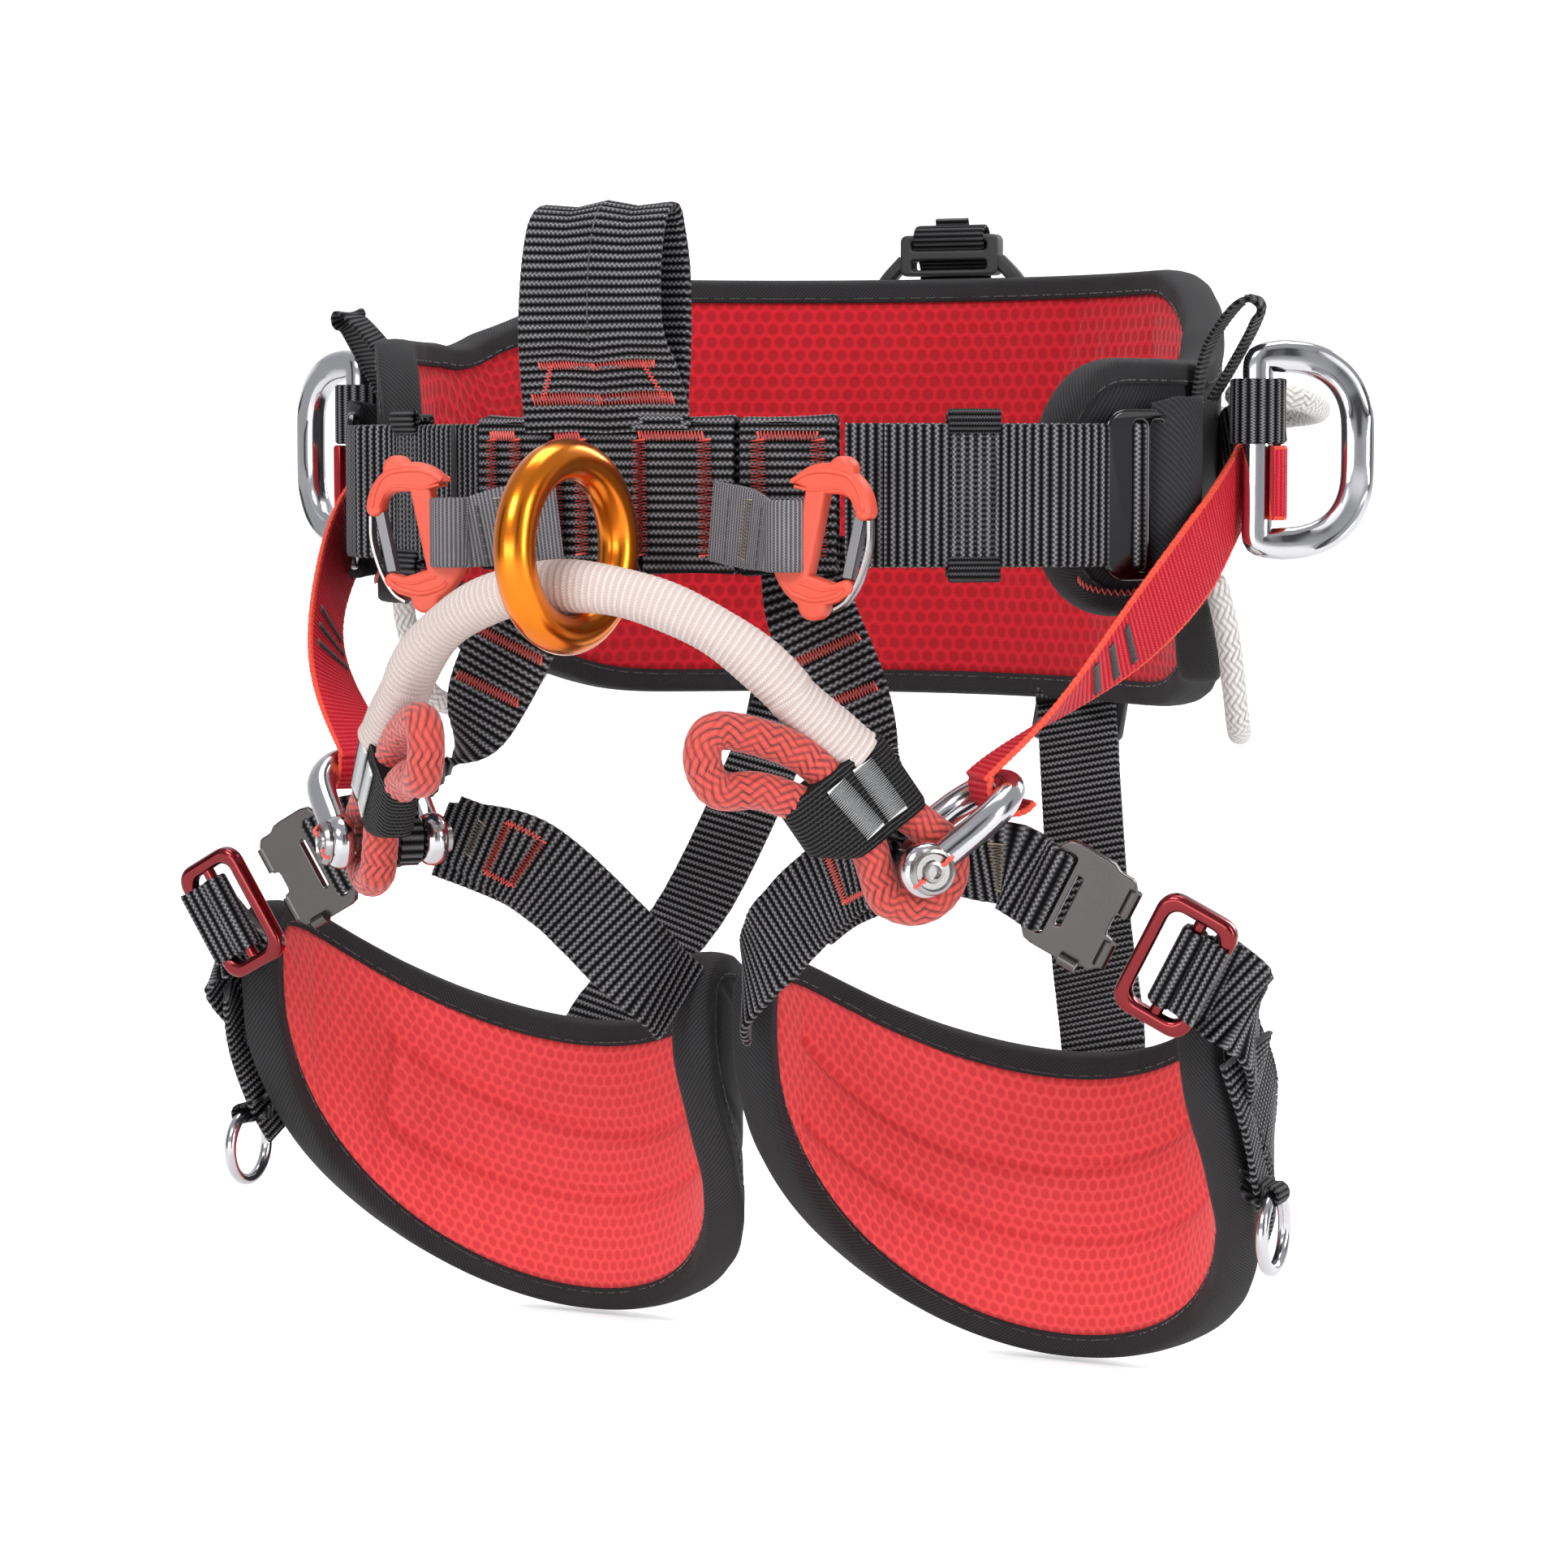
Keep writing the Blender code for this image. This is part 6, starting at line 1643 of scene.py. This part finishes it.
def leg_buckle(side, label):
    """Steel hook plate and anodised frame with the webbing round its bar."""
    body = f"leg_loop_{label}"
    along, tall, face = buckle_axes(side)
    at = flip(PLATE_AT, side) - face * 1 * MM
    lower = [(-15, -14), (-11.5, -18.4), (3, -18.4), (6, -16.6), (11.0, -16.6), (13.4, -13.6), (13.4, -4.4),
             (10.4, -3.6)]
    rim = lower + [(x, -y) for x, y in lower[::-1]]
    slot_hole = [(x - 9.6 * MM, y) for x, y in round_rect(1.9 * MM, 14.2 * MM, 1.5 * MM)]
    small = [(x - 4.4 * MM, y) for x, y in round_rect(1.1 * MM, 9.0 * MM, 1.0 * MM)]
    smooth_rim = []
    for (x0, y0), (x1, y1) in zip(rim, rim[1:] + rim[:1]):
        smooth_rim += [((x0 * 0.85 + x1 * 0.15) * MM, (y0 * 0.85 + y1 * 0.15) * MM),
                       ((x0 * 0.15 + x1 * 0.85) * MM, (y0 * 0.15 + y1 * 0.85) * MM)]
    # The hook plate and its rolls take the darker copy of satin steel, which is painted shade.
    plate(f"hook_plate_{label}", "brushed_plate", body, [smooth_rim, slot_hole, small], 2.6 * MM, 0.5 * MM,
          at, along, tall, (f"buckle_plate_{label}",))
    roll = Mesh()
    for low, high in ((-13.6, -5.0), (5.0, 13.6)):
        rod(roll, [at + along * 13.0 * MM + tall * y * MM + face * side * 0.6 * MM
                   for y in (low, (low + high) / 2, high)], along, 2.2 * MM)
    rod(roll, [at + along * x * MM + tall * -17.4 * MM + face * 1.8 * MM for x in (1.0, 4.0, 7.0)],
        tall, 2.0 * MM)
    roll.piece(f"hook_plate_rolls_{label}", "brushed_plate", body)
    ring_at = flip(FRAME_AT, side) + along * 2.5 * MM + face * 2 * MM
    rim = round_rect(13.6 * MM, 21.2 * MM, 6.5 * MM)
    window = round_rect(9.0 * MM, 16.4 * MM, 4.0 * MM)
    plate(f"red_frame_{label}", "red_anodised", body, [rim, window], 5.4 * MM, 1.7 * MM, ring_at, along, tall,
          (f"buckle_frame_{label}",))
    bar = Mesh()
    rod(bar, [ring_at + along * 1.0 * MM + tall * y * MM for y in (-16.6, -6, 6, 16.6)], along, 2.1 * MM)
    bar.piece(f"red_frame_bar_{label}", "red_anodised", body)
    wrap = [ring_at + along * (1.0 + 3.6 * math.cos(t)) * MM + face * (3.6 * math.sin(t)) * MM
            for t in np.radians(np.arange(20, 341, 32))]
    tail = [ring_at + along * 8 * MM - face * 5 * MM, ring_at + along * 15 * MM - face * 8 * MM]
    lead = [wrap[0] + along * 9 * MM + face * 3 * MM]
    webbing_loop = Strap(lead + wrap + tail, tall, 27 * MM, 1.9 * MM, steps=4, rib=0.14 * MM)
    webbing_loop.piece(f"frame_webbing_{label}", "black_webbing", body)


def leg_straps(side, label):
    """Front, inner, outer and rear webbing of one leg loop."""
    body = f"leg_loop_{label}"
    along, tall, face = buckle_axes(side)
    pin, axis = flip(PIN, side), flip(PIN_AXIS, side)
    start = pin - axis * 8 * MM + flip(pt(10, 13, -3), side)
    at = flip(PLATE_AT, side)
    plate_end = at - along * 18 * MM
    before = plate_end - along * 9 * MM
    path = [start, start * 0.5 + before * 0.5, before, plate_end - face * 0.5 * MM,
            at - along * 14.2 * MM + face * 1.6 * MM, at - along * 10.4 * MM + face * 1.8 * MM,
            at - along * 9.2 * MM - face * 2.4 * MM]
    front = Strap(path, tall, np.array([15, 22, 28.5, 29, 28, 27.5, 27.5]) * MM, 3.2 * MM, rib=0.2 * MM)
    front.piece(f"front_webbing_{label}", "black_webbing", None, (f"leg_front_strap_{label}",))
    sewn = Mesh()
    sign = 1.0 if front.up[len(front.points) // 2][1] < 0 else -1.0
    place = lambda s, x: front.at(s, x, 0.42 * MM, sign)
    bar_at = front.length * 0.42
    zigzag(sewn, place, (bar_at, -8 * MM), (bar_at, 8 * MM), 2.0 * MM, 1.1 * MM, 0.3 * MM)
    sewn.piece(f"front_webbing_bar_{label}", "beige_thread", body, sharp=0)
    inner_start = start + flip(pt(-12, 4, 6), side)
    first = 5 - LEG_HALF_ANGLE
    tip = leg(side, first - 3, -6 * MM)
    lead = leg(side, first - 14, -6 * MM) + flip(pt(6, 0, 4), side)
    bow = inner_start * 0.5 + lead * 0.5 + vec(0, 0, 8 * MM)
    knots = resample(catmull([inner_start, bow, lead, tip], 4), 14 * MM)[0]
    share = np.linspace(0, 1, len(knots))[:, None]
    across = vec(0.55 * side, 0.0, 0.85) * (1 - share) + vec(0, 0, 1) * share
    width = np.minimum(17 + 60 * share[:, 0], 30) * MM
    inner = Strap(knots, across, width, 2.6 * MM, rib=0.24 * MM)
    inner.piece(f"inner_webbing_{label}", "black_webbing", None, (f"leg_inner_strap_{label}",))
    below = knots[:max(len(knots) * 6 // 10, 3)] + vec(0, 4.2 * MM, -3.5 * MM)
    under = Strap(below, vec(0.5 * side, 0, 0.86), 28 * MM, 2.2 * MM, rib=0.2 * MM)
    under.piece(f"inner_webbing_tail_{label}", "black_webbing", body)
    red, beige = Mesh(), Mesh()
    sign = 1.0 if inner.up[len(inner.points) // 3][1] < 0 else -1.0
    place = lambda s, x: inner.at(s, x, 0.48 * MM, sign)
    box = (20 * MM, 31 * MM)
    for s in box:
        zigzag(red, place, (s, -9 * MM), (s + 1 * MM, 9 * MM), 1.5 * MM, 1.05 * MM)
    for x in (-9 * MM, 9 * MM):
        zigzag(red, place, (box[0], x), (box[1], x), 0.8 * MM, 1.1 * MM)
    zigzag(beige, place, (12 * MM, -6 * MM), (13 * MM, 6 * MM), 1.6 * MM, 1.1 * MM, 0.3 * MM)
    red.piece(f"inner_webbing_box_{label}", "red_thread", body, sharp=0)
    beige.piece(f"inner_webbing_bar_{label}", "beige_thread", body, sharp=0)
    frame_at = flip(FRAME_AT, side)
    knots = [frame_at + along * 5 * MM - face * 7 * MM, leg(side, 103, 9 * MM, 6 * MM)]
    knots += [leg(side, a, 4.4 * MM, r * MM)
              for a, r in ((92, -2), (80, -8), (68, -14), (58, -17), (50, -18))]
    across = [tall] + [vec(0, 0, 1)] * (len(knots) - 1)
    outer = Strap(knots, across, 30 * MM, 2.4 * MM, rib=0.22 * MM)
    outer.piece(f"outer_webbing_{label}", "black_webbing", body, (f"leg_outer_strap_{label}",))
    second = [leg(side, 101, 8 * MM, -4 * MM)]
    second += [leg(side, a, 4.6 * MM, r * MM) for a, r in ((94, -18), (88, -31), (83, -40))]
    cross = [vec(0.3 * side, 0.5, 0.4)] + [vec(-0.1 * side, 0.8, 0.35)] * 3
    Strap(second, cross, np.array([24, 24, 20, 14]) * MM, 2.0 * MM, rib=0.2 * MM).piece(
        f"pad_corner_webbing_{label}", "black_webbing", body)
    rows = Mesh()
    mid = len(outer.points) // 2
    sign = 1.0 if np.dot(outer.up[mid], flip(vec(1, 0.2, 0), side)) > 0 else -1.0
    place = lambda s, x: outer.at(s, x, 0.42 * MM, sign)
    for x in (-12.5 * MM, 12.5 * MM):
        running(rows, place, (outer.length * 0.3, x), (outer.length * 0.97, x))
    rows.piece(f"outer_webbing_stitches_{label}", "black_thread", body, sharp=0)
    for name_of in (f"front_webbing_{label}", f"inner_webbing_{label}"):
        piece = bpy.data.objects[name_of]
        away = unit((before if "front" in name_of else lead) - start)
        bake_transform(piece)
    rear(side, label)


def rear(side, label):
    """Webbing from the back of the belt down to the pad, with its small adjuster."""
    belt_end = waist(side * 24, -4 * MM, -PAD_HALF_HEIGHT - 6 * MM)
    pad_top = leg(side, 3, 3.2 * MM, 30 * MM)
    knots = [belt_end + vec(0, 0, 7 * MM), belt_end, belt_end * 0.5 + pad_top * 0.5 + pt(0, 4, -4),
             pad_top + pt(0, 8, 22), pad_top, leg(side, 3, 3.2 * MM, -10 * MM)]
    strap = Strap(knots, vec(1, 0, 0), 30 * MM, 2.4 * MM, rib=0.22 * MM, steps=8)
    piece = strap.piece(f"rear_webbing_{label}", "black_webbing", None, (f"rear_strap_{label}",))
    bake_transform(piece)
    down = unit(strap.points[30] - strap.points[10])
    sign = 1.0 if strap.up[20][1] > 0 else -1.0
    at = strap.at(11 * MM, 0.0, 2.0 * MM, sign)
    holes = [[(x, y + d * MM) for x, y in round_rect(14 * MM, 1.5 * MM, 1.0 * MM)] for d in (-4.0, 4.0)]
    plate(f"rear_adjuster_{label}", "black_plastic", "saddle",
          [round_rect(17.5 * MM, 8.5 * MM, 2.4 * MM)] + holes, 3.6 * MM, 0.8 * MM, at, vec(1, 0, 0), down)
    fold = [strap.at(s * MM, 0.0, h * MM, sign) for s, h in
            ((3, 1.5), (8, 4.4), (14, 4.6), (20, 3.0), (27, 2.0), (33, 1.8))]
    Strap(fold, vec(1, 0, 0), 28.5 * MM, 1.9 * MM, rib=0.18 * MM).piece(
        f"rear_fold_{label}", "black_webbing", "saddle")


def rings_and_loops(side, label):
    """Tool ring with its tape, the cord loops and the tape loop over the tab."""
    body = f"leg_loop_{label}"
    top = leg(side, 90, 10 * MM, -40 * MM)
    centre = top - vec(0, 0, 12 * MM)
    circle = [centre + vec(0, math.sin(t), math.cos(t)) * 12 * MM for t in np.arange(72) * 2 * math.pi / 72]
    ring = Mesh()
    rod(ring, circle, vec(side, 0, 0), circle_section(2.05 * MM, 18), closed=True, smooth=False)
    ring.piece(f"steel_tool_ring_{label}", "polished_steel", f"tool_ring_{label}", (f"leg_ring_{label}",),
               sharp=0)
    tape = [leg(side, 88, 1.6 * MM, -31 * MM), top + flip(pt(-6, 0, 5), side)]
    tape += [top + flip(vec(math.cos(t), 0, math.sin(t)), side) * 3.1 * MM
             for t in np.radians(np.arange(110, -131, -30))]
    tape += [top + flip(pt(-6, 0, -1.5), side), leg(side, 88, 1.9 * MM, -37 * MM)]
    Strap(tape, vec(0, 1, 0), 12 * MM, 1.1 * MM, pitch=1.7 * MM, rib=0.06 * MM).piece(
        f"tool_ring_tape_{label}", "fine_webbing", body)
    knots = [waist(side * a, d * MM, z * MM) for a, d, z in
             ((89, 4, -27), (88, 6, -34), (86, 8, -50), (80, 8, -76), (66, 8, -80), (58, 8, -56),
              (56, 6, -38), (56, 4, -30))]
    cord = Mesh()
    hint = waist(side * 72, 1.0) - waist(side * 72)
    braided(cord, knots, 4.0 * MM, 10, hint, step=0.55 * MM, depth=0.30 * MM, slant=1.5)
    cord.piece(f"front_cord_{label}", "gear_cord", "saddle", (f"gear_loop_front_{label}",), sharp=0)
    knots = [waist(side * a, d * MM, z * MM) for a, d, z in
             ((78, 5, 32), (76, 8, 32), (72, 26, 31), (60, 37, 27), (48, 28, 25), (44, 8, 26), (42, 5, 26))]
    cord = Mesh()
    braided(cord, knots, 4.0 * MM, 10, vec(0, 0, 1), step=0.55 * MM, depth=0.30 * MM, slant=1.5)
    cord.piece(f"rear_cord_{label}", "gear_cord", "saddle", (f"gear_loop_rear_{label}",), sharp=0)
    base = waist(side * 93, 1.9 * MM, 34 * MM)
    knots = [base + flip(pt(*p), side) for p in
             ((0, 0, -6), (0, 0, 0), (4, -1, 14), (15, -4, 27), (20, 0, 26), (18, 2, 20), (11, 3, 8),
              (3.6, 3, -4))]
    Strap(knots, vec(-0.1 * side, 1, 0), 13 * MM, 1.3 * MM, pitch=1.7 * MM, rib=0.06 * MM).piece(
        f"tape_loop_{label}", "fine_webbing", "saddle", (f"hang_loop_{label}",))


for name, hand in SIDES.items():
    leg_pad(hand, name)
    leg_buckle(hand, name)
    leg_straps(hand, name)
    rings_and_loops(hand, name)


# ------------------------------------------------------------------ CAD nodes that stay

def carried_over():
    """Gives every CAD node that is still shown a finished material."""
    slots = {p["node"]: p["material_slot"] for p in frame["record"]["subparts"]}
    for name, node in frame["nodes"].items():
        look = {"foam": "shell_cloth"}.get(slots.get(name, ""), slots.get(name, ""))
        if look in LOOKS:
            for place in node.material_slots:
                place.material = LOOKS[look]


carried_over()


# ------------------------------------------------------------------ stage

CAMERA_AZIMUTH = math.radians(24.3)
CAMERA_ELEVATION = math.radians(4.9)
CAMERA_DISTANCE = 1.360
CAMERA_LENS_MM = 91.2
AIM = (0.0, 0.0, 0.0)


def area(name, place, size, power):
    """One soft white lamp aimed at the object."""
    lamp = bpy.data.lights.new(name, "AREA")
    lamp.shape = "RECTANGLE"
    lamp.size, lamp.size_y = size
    lamp.energy = power
    made = bpy.data.objects.new(name, lamp)
    made.location = place
    made.rotation_euler = (Vector(AIM) - Vector(place)).to_track_quat("-Z", "Y").to_euler()
    bpy.context.scene.collection.objects.link(made)


def dark_card(name, place):
    """A black card, seen only in reflections, for dark edges in the polished metal."""
    toward = -unit(np.array(place))
    side = unit(np.cross(vec(0, 0, 1), toward))
    up = np.cross(toward, side)
    corners = ((1, 1), (-1, 1), (-1, -1), (1, -1))
    points = [tuple(np.array(place) + side * a * 0.28 + up * b * 0.75) for a, b in corners]
    data = bpy.data.meshes.new(name)
    data.from_pydata(points, [], [(0, 1, 2, 3)])
    made, n, shader = new_look(name + "_cloth")
    n.link(n.mix(n.noise(30.0), (0.004, 0.004, 0.004), (0.012, 0.012, 0.012)), shader.inputs["Base Color"])
    data.materials.append(made)
    card = bpy.data.objects.new(name, data)
    bpy.context.scene.collection.objects.link(card)
    card.visible_camera = False
    card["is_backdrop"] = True


def studio():
    """Plain pale floor that curves up behind, soft lamps and the camera."""
    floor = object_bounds()[0][2] - 1.5 * MM
    sweep = [(1.6 + 0.9 * math.sin(t), 0.9 - 0.9 * math.cos(t)) for t in np.linspace(0.1, math.pi / 2, 14)]
    profile = [(-4.0, 0.0), (1.6, 0.0)] + sweep + [(2.5, 4.5)]
    turn = CAMERA_AZIMUTH
    right = np.array((math.cos(turn), math.sin(turn), 0))
    away = np.array((-math.sin(turn), math.cos(turn), 0))
    points, faces = [], []
    for d, h in profile:
        for x in (-6.0, 6.0):
            points.append(tuple(right * x + away * d + np.array((0, 0, floor + h))))
    for i in range(len(profile) - 1):
        faces.append((2 * i, 2 * i + 1, 2 * i + 3, 2 * i + 2))
    data = bpy.data.meshes.new("studio_floor")
    data.from_pydata(points, [], faces)
    data.shade_smooth()
    made, n, shader = new_look("studio_paper")
    n.link(n.mix(n.noise(3.0), (0.90, 0.90, 0.90), (0.93, 0.93, 0.93)), shader.inputs["Base Color"])
    shader.inputs["Roughness"].default_value = 0.9
    seen = n.put("ShaderNodeLightPath").outputs["Is Camera Ray"]
    shader.inputs["Emission Color"].default_value = (1, 1, 1, 1)
    n.link(n.math("MULTIPLY", seen, 0.45), shader.inputs["Emission Strength"])
    data.materials.append(made)
    paper = bpy.data.objects.new("studio_floor", data)
    bpy.context.scene.collection.objects.link(paper)
    paper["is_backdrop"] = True
    world_light = bpy.data.worlds.new("studio")
    world_light.use_nodes = True
    backdrop = world_light.node_tree.nodes["Background"]
    backdrop.inputs[0].default_value = (0.95, 0.96, 1.0, 1)
    seen = world_light.node_tree.nodes.new("ShaderNodeLightPath").outputs["Is Camera Ray"]
    strength = world_light.node_tree.nodes.new("ShaderNodeMath")
    strength.operation = "MULTIPLY_ADD"
    strength.inputs[1].default_value = 0.50
    strength.inputs[2].default_value = 0.50
    world_light.node_tree.links.new(seen, strength.inputs[0])
    world_light.node_tree.links.new(strength.outputs[0], backdrop.inputs[1])
    bpy.context.scene.world = world_light
    bpy.context.scene.view_settings.view_transform = "Standard"

    def spot(x, d, z):
        return tuple(right * x + away * d + np.array((0, 0, z)))

    area("key", spot(-1.0, -1.5, 1.5), (0.9, 0.7), 30)
    area("fill", spot(1.6, -1.3, 0.5), (0.5, 1.2), 19)
    area("top", spot(0.1, 0.3, 1.7), (1.2, 0.8), 16)
    area("rim", spot(1.4, 1.2, 0.9), (0.4, 1.2), 12)
    area("low", spot(-0.6, -1.2, 0.05), (1.2, 0.3), 5)
    for name, place in (("flag_left", spot(-1.9, -0.2, 0.4)), ("flag_right", spot(2.1, -0.4, 0.2)),
                        ("flag_front", spot(0.6, -2.3, 0.9))):
        dark_card(name, place)
    camera = bpy.data.cameras.new("camera")
    camera.sensor_width = 36.0
    camera.lens = CAMERA_LENS_MM
    camera.clip_start = 0.01
    view = bpy.data.objects.new("camera", camera)
    bpy.context.scene.collection.objects.link(view)
    target = Vector(tuple(pt(0, 0, -100) + SHIFT))
    tilt = CAMERA_ELEVATION
    gaze = Vector((-math.sin(turn) * math.cos(tilt), math.cos(turn) * math.cos(tilt), -math.sin(tilt)))
    view.location = target - gaze * CAMERA_DISTANCE
    view.rotation_euler = gaze.to_track_quat("-Z", "Y").to_euler()
    bpy.context.scene.camera = view


studio()
